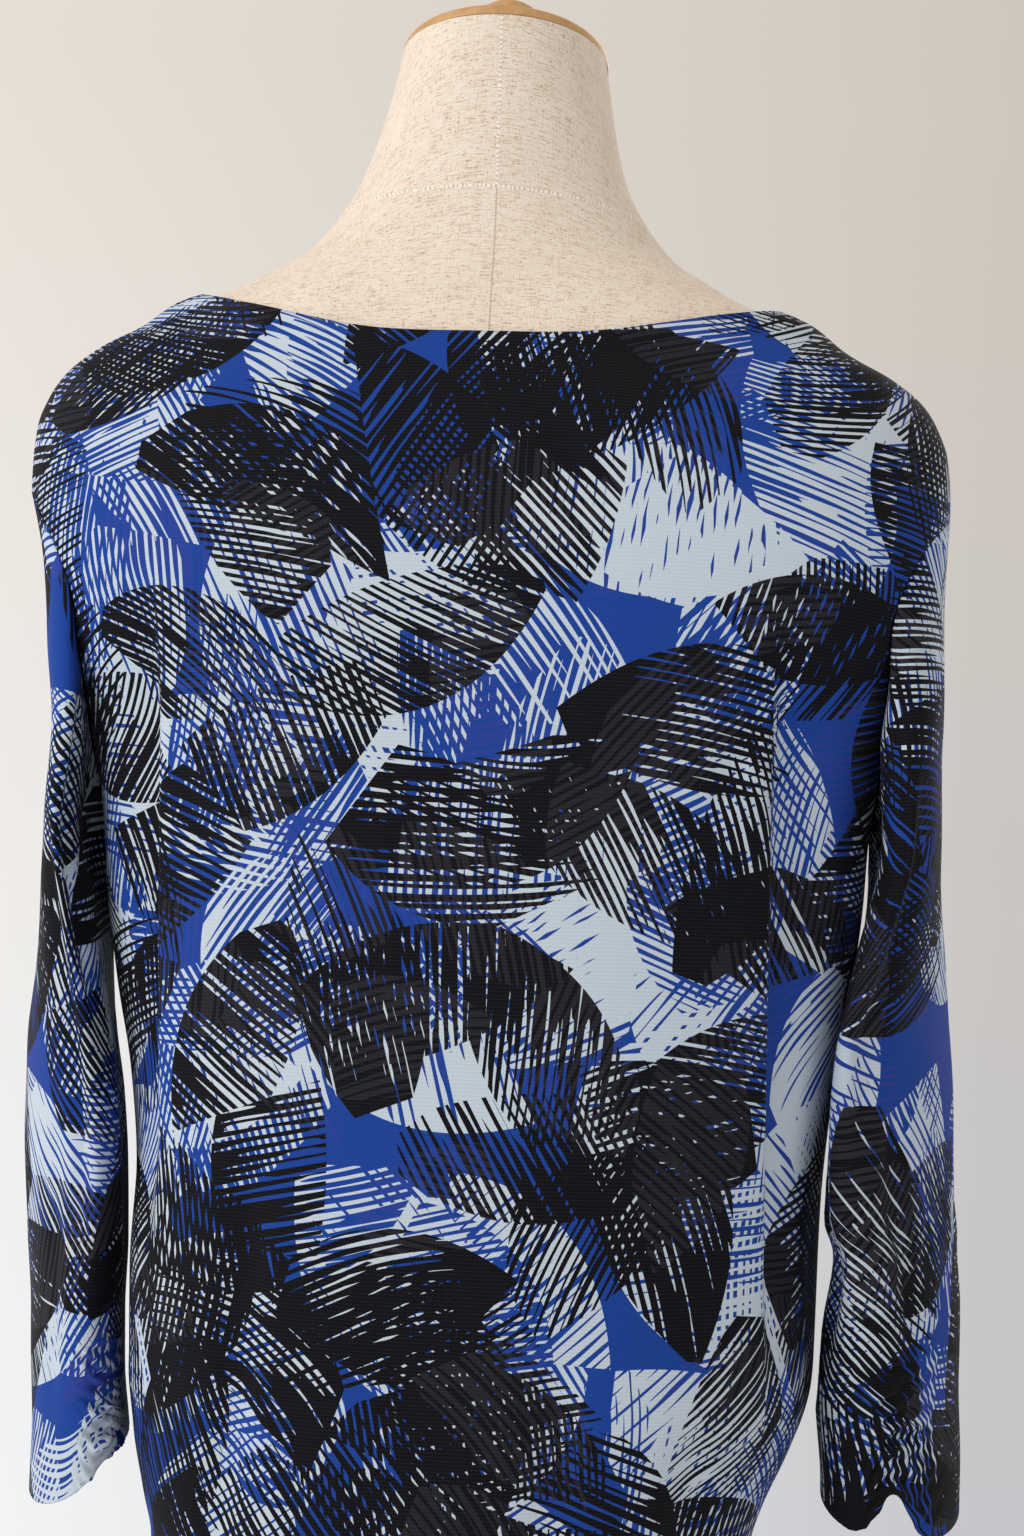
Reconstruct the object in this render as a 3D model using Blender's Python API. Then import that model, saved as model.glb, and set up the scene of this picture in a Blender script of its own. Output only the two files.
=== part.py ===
"""A blouse with dropped sleeves on a limbless dress form, in metres, with +Z up.

The wearer faces +Y: the back panel faces -Y and the wearer's right is +X. The whole stands on a round
base whose underside is z = 0, with the form's axis on the Z axis. Rows of the tables below give heights
from the neck point, where the neckline crosses the shoulder seam, so most of them are negative.
"""

import math

import bmesh
import bpy
import numpy as np
from mathutils import Matrix, Vector
from mathutils.bvhtree import BVHTree

# Driving sizes of the garment
NECK_POINT_HEIGHT = 0.900
CLOTH = 0.0015
HEM = -0.700
UNDERARM = -0.285
SHOULDER_POINT = -0.108
NECK_POINT = -0.0015
NECKLINE_BACK = -0.0285
NECKLINE_FRONT = -0.070
NECKLINE_CURVE = 5.5
ARMHOLE_HALF_DEPTH = 0.074

# Clearances: at a seam, of the cloth off the form, of a sleeve off the body, inside a flat sleeve, and
# between hard pieces
SEAM_GAP = 0.0006
FORM_GAP = 0.0011
SLEEVE_GAP = 0.0025
SLEEVE_LEAST_WIDTH = 0.010
TOUCH_GAP = 0.0003

# How the blouse hangs off true: the wearer's right shoulder lies lower, below it the cloth hangs to the
# right, and the body's hem swings back to the left
SHOULDER_LEAN = 0.005
SWAY = 0.004
HEM_SWING = 0.0085

# Grid of each cloth panel. The armhole rows are also half the number of columns round a sleeve.
BACK_COLUMNS = 28
FRONT_COLUMNS = 24
BODY_ROWS = 14
ARMHOLE_ROWS = 12
NECKLINE_SHARE = 0.55
SLEEVE_ROWS = 10
RUCHE_ROWS = 20
FORM_SIDES = 28

# The stand
BASE_RADIUS = 0.170
BASE_HEIGHT = 0.024
POLE_RADIUS = 0.017
FORM_BOTTOM = -0.740
NECK_TOP = 0.131
NECK_SLOPE = math.radians(14)
NECK_BASE = 0.060
FORM_TILT = 0.020
NECK_LEAN = 0.002
CAP_RADIUS = 0.0560
CAP_HEIGHT = 0.0060


def table(columns, *rows):
    """Named columns of numbers, one row for each height."""
    return dict(zip(columns.split(), np.array(rows).T))


# Horizontal sections of the blouse's body, an oval with its back and front depths from the side seams
BODY = table(
    "z half_width back front squareness",
    (-0.700, 0.159, 0.126, 0.132, 2.4),
    (-0.660, 0.1605, 0.127, 0.133, 2.4),
    (-0.635, 0.1665, 0.128, 0.134, 2.4),
    (-0.605, 0.176, 0.128, 0.134, 2.4),
    (-0.570, 0.183, 0.128, 0.135, 2.5),
    (-0.480, 0.185, 0.127, 0.136, 2.5),
    (-0.420, 0.190, 0.126, 0.137, 2.5),
    (-0.365, 0.198, 0.124, 0.139, 2.5),
    (-0.320, 0.203, 0.122, 0.140, 2.6),
    (-0.285, 0.205, 0.120, 0.140, 2.7),
    (-0.230, 0.2145, 0.118, 0.135, 2.65),
    (-0.180, 0.233, 0.115, 0.124, 2.8),
    (-0.140, 0.2435, 0.112, 0.116, 3.0),
    (-0.108, 0.2465, 0.107, 0.101, 2.7),
    (-0.095, 0.247, 0.104, 0.094, 2.5),
    (-0.076, 0.2455, 0.098, 0.084, 2.4),
    (-0.060, 0.240, 0.092, 0.076, 2.3),
    (-0.049, 0.2335, 0.087, 0.070, 2.2),
    (-0.035, 0.217, 0.080, 0.063, 2.2),
    (-0.021, 0.1915, 0.0745, 0.057, 2.2),
    (-0.007, 0.1725, 0.070, 0.052, 2.2),
    (-0.0015, 0.157, 0.0675, 0.0495, 2.2),
)

# Sections of the two sleeves: flat tubes whose back edge turns in towards the body by the twist, in degrees
SLEEVES = {
    "right": table(
        "z centre_x half_thickness half_depth twist",
        (-0.660, 0.2265, 0.0320, 0.060, 25),
        (-0.620, 0.2262, 0.0320, 0.061, 25),
        (-0.570, 0.2232, 0.0328, 0.063, 25),
        (-0.535, 0.2248, 0.0306, 0.065, 24),
        (-0.500, 0.2258, 0.0254, 0.067, 24),
        (-0.475, 0.2208, 0.0270, 0.0685, 26),
        (-0.440, 0.2200, 0.0262, 0.070, 26),
        (-0.390, 0.2200, 0.0229, 0.075, 23),
        (-0.340, 0.2245, 0.0195, 0.077, 14),
        (-0.290, 0.2262, 0.0180, 0.079, 5),
        (-0.230, 0.2235, 0.0192, 0.080, 2),
        (-0.200, 0.2242, 0.0175, 0.080, 0),
        (-0.160, 0.2255, 0.0155, 0.079, 0),
        (-0.100, 0.2310, 0.0135, 0.077, 0),
    ),
    "left": table(
        "z centre_x half_thickness half_depth twist",
        (-0.660, 0.2140, 0.0275, 0.059, 20),
        (-0.620, 0.2145, 0.0262, 0.060, 20),
        (-0.580, 0.2172, 0.0250, 0.062, 20),
        (-0.550, 0.2180, 0.0250, 0.064, 20),
        (-0.510, 0.2192, 0.0263, 0.066, 22),
        (-0.465, 0.2214, 0.0262, 0.0685, 24),
        (-0.430, 0.2228, 0.0250, 0.0705, 23),
        (-0.395, 0.2250, 0.0230, 0.0722, 20),
        (-0.365, 0.2250, 0.0205, 0.074, 15),
        (-0.320, 0.2245, 0.0170, 0.077, 8),
        (-0.285, 0.2226, 0.0138, 0.079, 4),
        (-0.230, 0.2175, 0.0145, 0.080, 2),
        (-0.190, 0.2185, 0.0160, 0.080, 0),
        (-0.150, 0.2215, 0.0150, 0.079, 0),
        (-0.100, 0.2315, 0.0140, 0.077, 0),
    ),
}

# Cuffs: the edge hangs on a slant, lowest at one angle round the sleeve, and the lower stretch of the
# seam is ruched, which pulls the edge up there
CUFFS = {
    "right": {
        "edge": -0.634,
        "slant": 0.013,
        "lowest_angle": 5,
        "seam_angle": 52,
        "pull_up": 0.026,
        "pull_width": 18,
        "ruche_top": -0.540,
        "gathers": 6,
    },
    "left": {
        "edge": -0.632,
        "slant": 0.020,
        "lowest_angle": 0,
        "seam_angle": 105,
        "pull_up": 0.004,
        "pull_width": 30,
        "ruche_top": -0.550,
        "gathers": 6,
    },
}
RUCHE_DEPTH = 0.0022
RUCHE_SPREAD = 34

# Long soft folds that hang in the body, troughs in from the surface at a distance from the centre line
BODY_FOLDS = table(
    "face x low high depth width",
    (-1, 0.158, -0.560, -0.150, 0.012, 0.015),
    (-1, -0.168, -0.500, -0.150, 0.012, 0.015),
    (-1, -0.108, -0.690, -0.420, 0.005, 0.014),
    (-1, 0.060, -0.690, -0.500, 0.004, 0.016),
    (1, 0.165, -0.520, -0.180, 0.011, 0.018),
    (1, -0.160, -0.560, -0.170, 0.012, 0.018),
    (1, 0.070, -0.690, -0.380, 0.006, 0.018),
    (1, -0.085, -0.690, -0.460, 0.005, 0.016),
)

# Long folds in the sleeves, by the angle round the tube in degrees from its outer side over the back
SLEEVE_FOLDS = {
    "right": table(
        "angle low high depth width",
        (62, -0.470, -0.230, 0.005, 16),
        (118, -0.570, -0.330, 0.005, 16),
        (255, -0.560, -0.250, 0.005, 18),
    ),
    "left": table(
        "angle low high depth width",
        (70, -0.540, -0.260, 0.005, 18),
        (285, -0.560, -0.240, 0.005, 18),
        (240, -0.520, -0.320, 0.004, 14),
    ),
}

# Sections of the dress form, from the torso's bottom to the top of the neck
FORM = table(
    "z half_width back front squareness",
    (-0.740, 0.1380, 0.101, 0.096, 2.3),
    (-0.734, 0.1430, 0.106, 0.101, 2.3),
    (-0.670, 0.1505, 0.111, 0.106, 2.3),
    (-0.600, 0.1515, 0.110, 0.106, 2.3),
    (-0.530, 0.1440, 0.101, 0.101, 2.3),
    (-0.460, 0.1280, 0.088, 0.092, 2.3),
    (-0.400, 0.1200, 0.080, 0.088, 2.3),
    (-0.320, 0.1370, 0.092, 0.110, 2.3),
    (-0.250, 0.1550, 0.104, 0.130, 2.3),
    (-0.180, 0.1660, 0.107, 0.121, 2.3),
    (-0.140, 0.1740, 0.106, 0.107, 2.3),
    (-0.100, 0.1830, 0.098, 0.090, 2.3),
    (-0.060, 0.1890, 0.087, 0.070, 2.3),
    (-0.036, 0.1900, 0.079, 0.060, 2.3),
    (-0.023, 0.1825, 0.0745, 0.055, 2.2),
    (-0.013, 0.1700, 0.071, 0.051, 2.2),
    (-0.005, 0.1535, 0.0685, 0.048, 2.2),
    (0.002, 0.1375, 0.0665, 0.046, 2.2),
    (0.0155, 0.1140, 0.061, 0.045, 2.1),
    (0.022, 0.1025, 0.0585, 0.046, 2.1),
    (0.046, 0.0820, 0.0545, 0.050, 2.1),
    (0.062, 0.0730, 0.0525, 0.054, 2.0),
    (0.084, 0.0655, 0.0505, 0.058, 2.0),
    (0.111, 0.0590, 0.0490, 0.060, 2.0),
    (0.131, 0.0552, 0.0478, 0.060, 2.0),
)
FORM_LEVELS = ((-0.740, 1), (-0.734, 12), (-0.180, 5), (-0.036, 6), (0.022, 5), (NECK_TOP, 0))


def smooth(rows, column, z):
    """A column's value at height z, on a curve through the rows that never swings past them."""
    heights, values = rows["z"], rows[column]
    steps = np.diff(heights)
    slopes = np.diff(values) / steps
    before, after = slopes[:-1], slopes[1:]
    same_way = before * after > 0
    total = np.where(same_way, before + after, 1.0)
    inner = np.where(same_way, 2 * before * after / total, 0.0)
    tangents = np.concatenate([slopes[:1], inner, slopes[-1:]])
    z = np.clip(z, heights[0], heights[-1])
    row = np.clip(np.searchsorted(heights, z) - 1, 0, len(steps) - 1)
    t = (z - heights[row]) / steps[row]
    value = (2 * t**3 - 3 * t**2 + 1) * values[row] + (3 * t**2 - 2 * t**3) * values[row + 1]
    bend = (t**3 - 2 * t**2 + t) * tangents[row] + (t**3 - t**2) * tangents[row + 1]
    return value + bend * steps[row]


def ease(low, high, value):
    """0 below low, 1 above high, and a soft rise between them."""
    t = np.clip((value - low) / (high - low), 0.0, 1.0)
    return t * t * (3 - 2 * t)


def window(low, high, value):
    """1 between low and high, fading out over a quarter of that length at each end."""
    fade = 0.25 * (high - low)
    return ease(low, low + fade, value) * (1 - ease(high - fade, high, value))


def oval(rows, angle, z, side):
    """Points of a section: the angle is 0 at the right side seam and pi at the left one."""
    half_width = smooth(rows, "half_width", z)
    depth = smooth(rows, "back" if side < 0 else "front", z)
    power = smooth(rows, "squareness", z)
    across, out = np.abs(np.cos(angle)) / half_width, np.sin(angle) / depth
    radius = (across**power + out**power) ** (-1 / power)
    return np.stack([radius * np.cos(angle), side * radius * np.sin(angle), z], -1)


def oval_side(rows, y, z, side):
    """Distance of a section's surface from the middle, at a depth y behind or before the side seams."""
    depth = smooth(rows, "back" if side < 0 else "front", z)
    power = smooth(rows, "squareness", z)
    return smooth(rows, "half_width", z) * (1 - np.minimum(y / depth, 1) ** power) ** (1 / power)


def armhole(rise, side):
    """Angle and height of the armhole seam, from the underarm (0) up to the shoulder point (1)."""
    z = UNDERARM + (SHOULDER_POINT - UNDERARM) * np.sin(rise * math.pi / 2)
    y = ARMHOLE_HALF_DEPTH * np.sin(rise * math.pi)
    return np.arctan2(y, oval_side(BODY, y, z, side)), z


def quarter_turn(share):
    """Angle from the centre line (share 0) to the side seam (1), with even steps along the cloth."""
    evenness = 0.26
    return math.pi / 2 * (1 - share * (1 + evenness - evenness * share))


def normals_of(grid, closed):
    """Unit normals of a grid of points: outward where rows go down and columns round a tube clockwise."""
    if closed:
        around = np.roll(grid, -1, 1) - np.roll(grid, 1, 1)
    else:
        around = np.gradient(grid, axis=1)
    normal = np.cross(around, np.gradient(grid, axis=0))
    return normal / np.linalg.norm(normal, axis=2, keepdims=True)


def hang(points):
    """Moves points as the blouse really hangs: shoulders off level and the rest swung to one side."""
    x, z = points[..., 0], points[..., 2]
    lean = SHOULDER_LEAN * np.sign(x) * np.clip(x / 0.20, -1, 1) ** 2 * ease(-0.30, -0.10, z)
    sway = SWAY * ease(0.07, 0.22, -z)
    return points + np.stack([sway, 0 * x, -lean], -1)


def panel(side, columns, neckline):
    """Outer points of the back (side -1) or the front (side 1), and the share of each column."""
    share = np.abs(np.linspace(-1, 1, columns + 1))
    right = np.linspace(-1, 1, columns + 1) > 0
    flat_angle = quarter_turn(share)
    along_neck = np.clip(share / NECKLINE_SHARE, 0, 1)
    along_shoulder = np.clip((share - NECKLINE_SHARE) / (1 - NECKLINE_SHARE), 0, 1)
    top_angle = quarter_turn(along_neck)
    top_z = neckline + (NECK_POINT - neckline) * np.cos(top_angle) ** NECKLINE_CURVE
    top_z = top_z + (SHOULDER_POINT - NECK_POINT) * along_shoulder**1.75
    rows = []
    for height in np.linspace(HEM, UNDERARM, BODY_ROWS + 1):
        rows.append((flat_angle, np.full(columns + 1, height)))
    for rise in np.linspace(0, 1, ARMHOLE_ROWS + 1)[1:]:
        seam_angle, seam_z = armhole(rise, side)
        seam_lift = seam_z - UNDERARM - rise * (SHOULDER_POINT - UNDERARM)
        angle = (1 - rise) * flat_angle + rise * top_angle + share * seam_angle
        rows.append((angle, UNDERARM + rise * (top_z - UNDERARM) + share * seam_lift))
    angle, z = np.array([row[0] for row in rows]), np.array([row[1] for row in rows])
    return oval(BODY, np.where(right, angle, math.pi - angle), z, side)


def fold_panel(grid, side):
    """Presses the long folds into a panel."""
    outward = normals_of(grid, False) * -side
    x, z = grid[..., 0], grid[..., 2]
    depth = np.zeros_like(x)
    for face, centre, low, high, deep, width in zip(*BODY_FOLDS.values()):
        if face == side:
            depth += deep * np.exp(-(((x - centre) / width) ** 2)) * window(low, high, z)
    depth *= ease(0, 0.03, np.abs(grid[..., 1]))
    return grid - outward * depth[..., None]


def clear_of_form(grid, form, keep_y, margin):
    """Moves points that lie too near the form out to the margin, in x and z alone where keep_y is set."""
    for index in np.ndindex(grid.shape[:2]):
        point = Vector(grid[index])
        nearest, normal, _, _ = form.find_nearest(point)
        short = margin - (point - nearest).dot(normal)
        if short > 0:
            shift = np.array(normal * short)
            shift[1] *= not keep_y[index]
            grid[index] += shift
    return grid


def make_object(name, mesh_builder, colour, roughness, metallic=0.0):
    """Turns a finished bmesh into a named object with its own material."""
    mesh = bpy.data.meshes.new(name)
    mesh_builder.to_mesh(mesh)
    mesh_builder.free()
    mesh.shade_smooth()
    mesh.set_sharp_from_angle(angle=math.radians(40))
    item = bpy.data.objects.new(name, mesh)
    bpy.context.scene.collection.objects.link(item)
    material = bpy.data.materials.new(name)
    material.use_nodes = True
    shader = material.node_tree.nodes["Principled BSDF"]
    shader.inputs["Base Color"].default_value = (*colour, 1)
    shader.inputs["Roughness"].default_value = roughness
    shader.inputs["Metallic"].default_value = metallic
    mesh.materials.append(material)
    return item


def wall(outer, inner, closed):
    """A closed wall between two grids of points, with a rim along each open edge."""
    rows, columns = outer.shape[:2]
    shell = bmesh.new()
    skins = []
    for grid in (outer, inner):
        skins.append([[shell.verts.new(point) for point in row] for row in grid])
    outside, inside = skins
    last = columns if closed else columns - 1
    for i in range(rows - 1):
        for j in range(last):
            k = (j + 1) % columns
            shell.faces.new((outside[i][j], outside[i][k], outside[i + 1][k], outside[i + 1][j]))
            shell.faces.new((inside[i][j], inside[i + 1][j], inside[i + 1][k], inside[i][k]))
    for j in range(last):
        k = (j + 1) % columns
        shell.faces.new((outside[0][j], inside[0][j], inside[0][k], outside[0][k]))
        shell.faces.new((outside[-1][j], outside[-1][k], inside[-1][k], inside[-1][j]))
    if not closed:
        for i in range(rows - 1):
            shell.faces.new((outside[i][0], outside[i + 1][0], inside[i + 1][0], inside[i][0]))
            shell.faces.new((outside[i][-1], inside[i][-1], inside[i + 1][-1], outside[i + 1][-1]))
    bmesh.ops.triangulate(shell, faces=shell.faces[:])
    bmesh.ops.recalc_face_normals(shell, faces=shell.faces[:])
    return shell


def tilted(points):
    """Tips the form's shoulders and neck a little to the wearer's right, about the neck's base."""
    x, z = points[..., 0], points[..., 2]
    share = ease(-0.25, -0.03, z)
    across = FORM_TILT * (z - NECK_BASE) * share + NECK_LEAN * ease(NECK_BASE, 0.12, z)
    return points + np.stack([across, 0 * x, -FORM_TILT * x * share], -1)


def make_form():
    """The torso and neck: a loft of oval sections, whose top slopes down to the front under the cap."""
    heights = []
    for (low, count), (high, _) in zip(FORM_LEVELS, FORM_LEVELS[1:]):
        heights.extend(np.linspace(low, high, count, endpoint=False))
    heights.append(NECK_TOP)
    loft = bmesh.new()
    rings = []
    for height in heights:
        turn = np.linspace(0, 2 * math.pi, FORM_SIDES, endpoint=False)
        half = np.where(turn < math.pi, turn, 2 * math.pi - turn)
        level = np.full(FORM_SIDES, height)
        ring = np.where((turn < math.pi)[:, None], oval(FORM, half, level, -1), oval(FORM, half, level, 1))
        slope = math.tan(NECK_SLOPE) * ease(0.05, NECK_TOP, height)
        ring = tilted(ring) + np.outer(NECK_POINT_HEIGHT - slope * ring[:, 1], (0, 0, 1))
        rings.append([loft.verts.new(point) for point in ring])
    for lower, upper in zip(rings, rings[1:]):
        for j in range(FORM_SIDES):
            k = (j + 1) % FORM_SIDES
            loft.faces.new((lower[j], lower[k], upper[k], upper[j]))
    loft.faces.new(rings[0])
    loft.faces.new(rings[-1])
    bmesh.ops.triangulate(loft, faces=loft.faces[:])
    bmesh.ops.recalc_face_normals(loft, faces=loft.faces[:])
    tree = BVHTree.FromBMesh(loft)
    make_object("form", loft, (0.72, 0.64, 0.53), 0.85)
    return tree


def make_panel(name, side, columns, neckline, form):
    """One body panel, wrapped over the form's shoulders, with flat edges at its seams."""
    grid = hang(fold_panel(panel(side, columns, neckline), side))
    grid[..., 0] -= HEM_SWING * ease(0.56, 0.65, -grid[..., 2])
    grid[..., 2] += NECK_POINT_HEIGHT
    sewn = np.abs(grid[..., 1]) < 1e-6
    grid = clear_of_form(grid, form, sewn, CLOTH + FORM_GAP)
    outward = normals_of(grid, False) * -side
    outward[sewn, 1] = 0
    outward /= np.linalg.norm(outward, axis=2, keepdims=True)
    grid[..., 1] += side * SEAM_GAP / 2
    inner = grid - outward * CLOTH
    make_object(name, wall(grid, inner, False), (0.02, 0.07, 0.36), 0.7)


def sleeve_section(rows, angle, z):
    """Points of a sleeve's tube beside the wearer's right side."""
    thick, depth = smooth(rows, "half_thickness", z), smooth(rows, "half_depth", z)
    twist = np.radians(smooth(rows, "twist", z))
    across, along = thick * np.cos(angle), -depth * np.sin(angle)
    x = smooth(rows, "centre_x", z) + across * np.cos(twist) + along * np.sin(twist)
    return np.stack([x, along * np.cos(twist) - across * np.sin(twist), z], -1)


def sleeve_seam(turn):
    """The armhole seam round a sleeve, and the body's outward normals there."""
    rise = np.abs(1 - turn / math.pi)
    points, normals = [], []
    for side in (-1, 1):
        angle, z = armhole(rise, side)
        step = 0.001
        point = oval(BODY, angle, z, side)
        up = oval(BODY, angle, z + step, side) - point
        round_body = oval(BODY, angle + step, z, side) - point
        normal = np.cross(up, round_body) * -side
        points.append(point)
        normals.append(normal / np.linalg.norm(normal, axis=1, keepdims=True))
    at_back = (turn <= math.pi)[:, None]
    return np.where(at_back, *points), np.where(at_back, *normals), rise


def beside_body(grid, turn, top):
    """Holds a sleeve just off the body's surface, its outer side further, except where the armhole is open."""
    x, y, z = grid[..., 0], np.abs(grid[..., 1]), grid[..., 2]
    full_margin = SLEEVE_GAP + SLEEVE_LEAST_WIDTH * (1 + np.cos(turn)) / 2
    margin = SEAM_GAP + (full_margin - SEAM_GAP) * ease(0, 0.03, top - z)
    rise = np.clip((z - UNDERARM) / (SHOULDER_POINT - UNDERARM), 0, 1)
    opening = ARMHOLE_HALF_DEPTH * np.sin(2 * np.arcsin(rise))
    limits = [oval_side(BODY, y, z, side) + margin for side in (-1, 1)]
    limit = np.where(grid[..., 1] < 0, *limits)
    grid[..., 0] = np.where(y >= opening, np.maximum(x, limit), x)
    return grid


def sleeve(hand):
    """Outer points and normals of a sleeve at the right side, rows from the armhole down to the cuff."""
    rows, cuff = SLEEVES[hand], CUFFS[hand]
    turn = np.linspace(0, 2 * math.pi, 2 * ARMHOLE_ROWS, endpoint=False)
    seam, body_normal, rise = sleeve_seam(turn)
    along_seam = np.roll(seam, -1, 0) - np.roll(seam, 1, 0)
    off_body = np.cross(body_normal, along_seam)
    off_body /= np.linalg.norm(off_body, axis=1, keepdims=True)
    lean = (math.pi / 2 * (1 - rise))[:, None]
    seam = seam + SEAM_GAP * (off_body * np.cos(lean) + body_normal * np.sin(lean))
    off_seam = np.degrees(turn) - cuff["seam_angle"]
    off_lowest = turn - math.radians(cuff["lowest_angle"])
    edge = cuff["edge"] - cuff["slant"] * np.cos(off_lowest)
    edge = edge + cuff["pull_up"] * np.exp(-((off_seam / cuff["pull_width"]) ** 2))
    top = seam[:, 2]
    ruche_top = cuff["ruche_top"]
    heights = [top + (ruche_top - top) * t for t in np.linspace(0, 1, SLEEVE_ROWS + 1)]
    heights += [ruche_top + (edge - ruche_top) * t for t in np.linspace(0, 1, RUCHE_ROWS + 1)[1:]]
    z = np.array(heights)
    grid = sleeve_section(rows, turn + 0 * z, z)
    stretch = (seam - grid[0])[None]
    grid = grid + stretch * (1 - ease(0.0, 0.14, top - z))[..., None]

    depth = np.zeros_like(z)
    for angle, low, high, deep, width in zip(*SLEEVE_FOLDS[hand].values()):
        off = np.degrees(turn) - angle
        depth += deep * np.exp(-((off / width) ** 2)) * window(low, high, z)
    down_ruche = (ruche_top - z) / (ruche_top - edge)
    wave = np.sin(2 * math.pi * cuff["gathers"] * down_ruche)
    near_seam = np.exp(-((off_seam / RUCHE_SPREAD) ** 2)) * ease(0.0, 0.15, down_ruche)
    grid = grid + normals_of(grid, True) * (RUCHE_DEPTH * wave * near_seam - depth)[..., None]
    grid[1:] = beside_body(grid, turn, top)[1:]
    outward = normals_of(grid, True)
    with_body = ease(0.35, 0.65, rise)[:, None]
    outward[0] = outward[0] * (1 - with_body) + body_normal * with_body
    return grid, outward / np.linalg.norm(outward, axis=2, keepdims=True)


def make_sleeve(name, hand):
    """One sleeve, an open tube from the armhole to the cuff."""
    outer, outward = sleeve(hand)
    inner = outer - outward * CLOTH
    grids = []
    for grid in (outer, inner):
        if hand == "left":
            grid = grid[:, ::-1] * (-1, 1, 1)
        grid = hang(grid)
        grids.append(grid[::-1] + (0, 0, NECK_POINT_HEIGHT))
    make_object(name, wall(*grids, True), (0.02, 0.07, 0.36), 0.7)


def turned(name, profile, sides, colour):
    """A turned piece: a profile of radii and heights, spun round the Z axis."""
    lathe = bmesh.new()
    line = [lathe.verts.new((radius, 0, z)) for radius, z in profile]
    edges = [lathe.edges.new(pair) for pair in zip(line, line[1:])]
    bmesh.ops.spin(
        lathe,
        geom=line + edges,
        axis=(0, 0, 1),
        cent=(0, 0, 0),
        angle=2 * math.pi,
        steps=sides,
        use_merge=True,
    )
    bmesh.ops.remove_doubles(lathe, verts=lathe.verts[:], dist=1e-6)
    bmesh.ops.dissolve_degenerate(lathe, edges=lathe.edges[:], dist=1e-7)
    bmesh.ops.recalc_face_normals(lathe, faces=lathe.faces[:])
    return make_object(name, lathe, colour, 0.5)


def make_stand():
    """The wooden cap on the neck, and the pole and round base under the torso."""
    wood = (0.50, 0.29, 0.13)
    cap = turned(
        "neck_cap",
        (
            (0, 0),
            (CAP_RADIUS - 0.001, 0),
            (CAP_RADIUS, 0.001),
            (CAP_RADIUS, CAP_HEIGHT - 0.002),
            (CAP_RADIUS - 0.0025, CAP_HEIGHT),
            (0.030, CAP_HEIGHT + 0.0035),
            (0.0155, CAP_HEIGHT + 0.005),
            (0.0145, CAP_HEIGHT + 0.009),
            (0.0185, CAP_HEIGHT + 0.017),
            (0.0165, CAP_HEIGHT + 0.026),
            (0.0090, CAP_HEIGHT + 0.030),
            (0, CAP_HEIGHT + 0.031),
        ),
        32,
        wood,
    )
    centre_y = (smooth(FORM, "front", NECK_TOP) - smooth(FORM, "back", NECK_TOP)) / 2
    seat = NECK_POINT_HEIGHT + NECK_TOP - math.tan(NECK_SLOPE) * centre_y
    centre_x = FORM_TILT * (NECK_TOP - NECK_BASE) + NECK_LEAN
    tilt = Matrix.Rotation(FORM_TILT, 4, "Y") @ Matrix.Rotation(-NECK_SLOPE, 4, "X")
    lift = tilt @ Vector((0, 0, TOUCH_GAP))
    cap.matrix_world = Matrix.Translation(Vector((centre_x, centre_y, seat)) + lift) @ tilt

    edge = 0.006
    turned(
        "base",
        (
            (0, 0),
            (BASE_RADIUS - edge / 3, 0),
            (BASE_RADIUS, edge / 3),
            (BASE_RADIUS, BASE_HEIGHT - edge),
            (BASE_RADIUS - edge / 3, BASE_HEIGHT - edge / 3),
            (BASE_RADIUS - edge, BASE_HEIGHT),
            (0, BASE_HEIGHT),
        ),
        48,
        wood,
    )
    low, high = BASE_HEIGHT + TOUCH_GAP, NECK_POINT_HEIGHT + FORM_BOTTOM - TOUCH_GAP
    turned("pole", ((0, low), (POLE_RADIUS, low), (POLE_RADIUS, high), (0, high)), 24, wood)


for old in list(bpy.data.objects):
    bpy.data.objects.remove(old, do_unlink=True)
bpy.context.scene.unit_settings.system = "METRIC"

form_tree = make_form()
make_stand()
make_panel("back", -1, BACK_COLUMNS, NECKLINE_BACK, form_tree)
make_panel("front", 1, FRONT_COLUMNS, NECKLINE_FRONT, form_tree)
make_sleeve("sleeve_right", "right")
make_sleeve("sleeve_left", "left")
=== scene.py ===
"""The looks of a printed mesh-knit blouse on a limbless linen dress form.

It is put together as in a workroom: first the padded form in its linen cover, then its turned wood,
then the blouse's two panels and two sleeves over it, and last the studio round them. The wearer faces
+Y, so the back of the blouse faces -Y. Heights in the tables are from the neck point, where the
neckline crosses the shoulder seam.
"""

import math

import bmesh
import bpy
import numpy as np
from mathutils import Matrix, Vector
from mathutils.bvhtree import BVHTree


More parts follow.
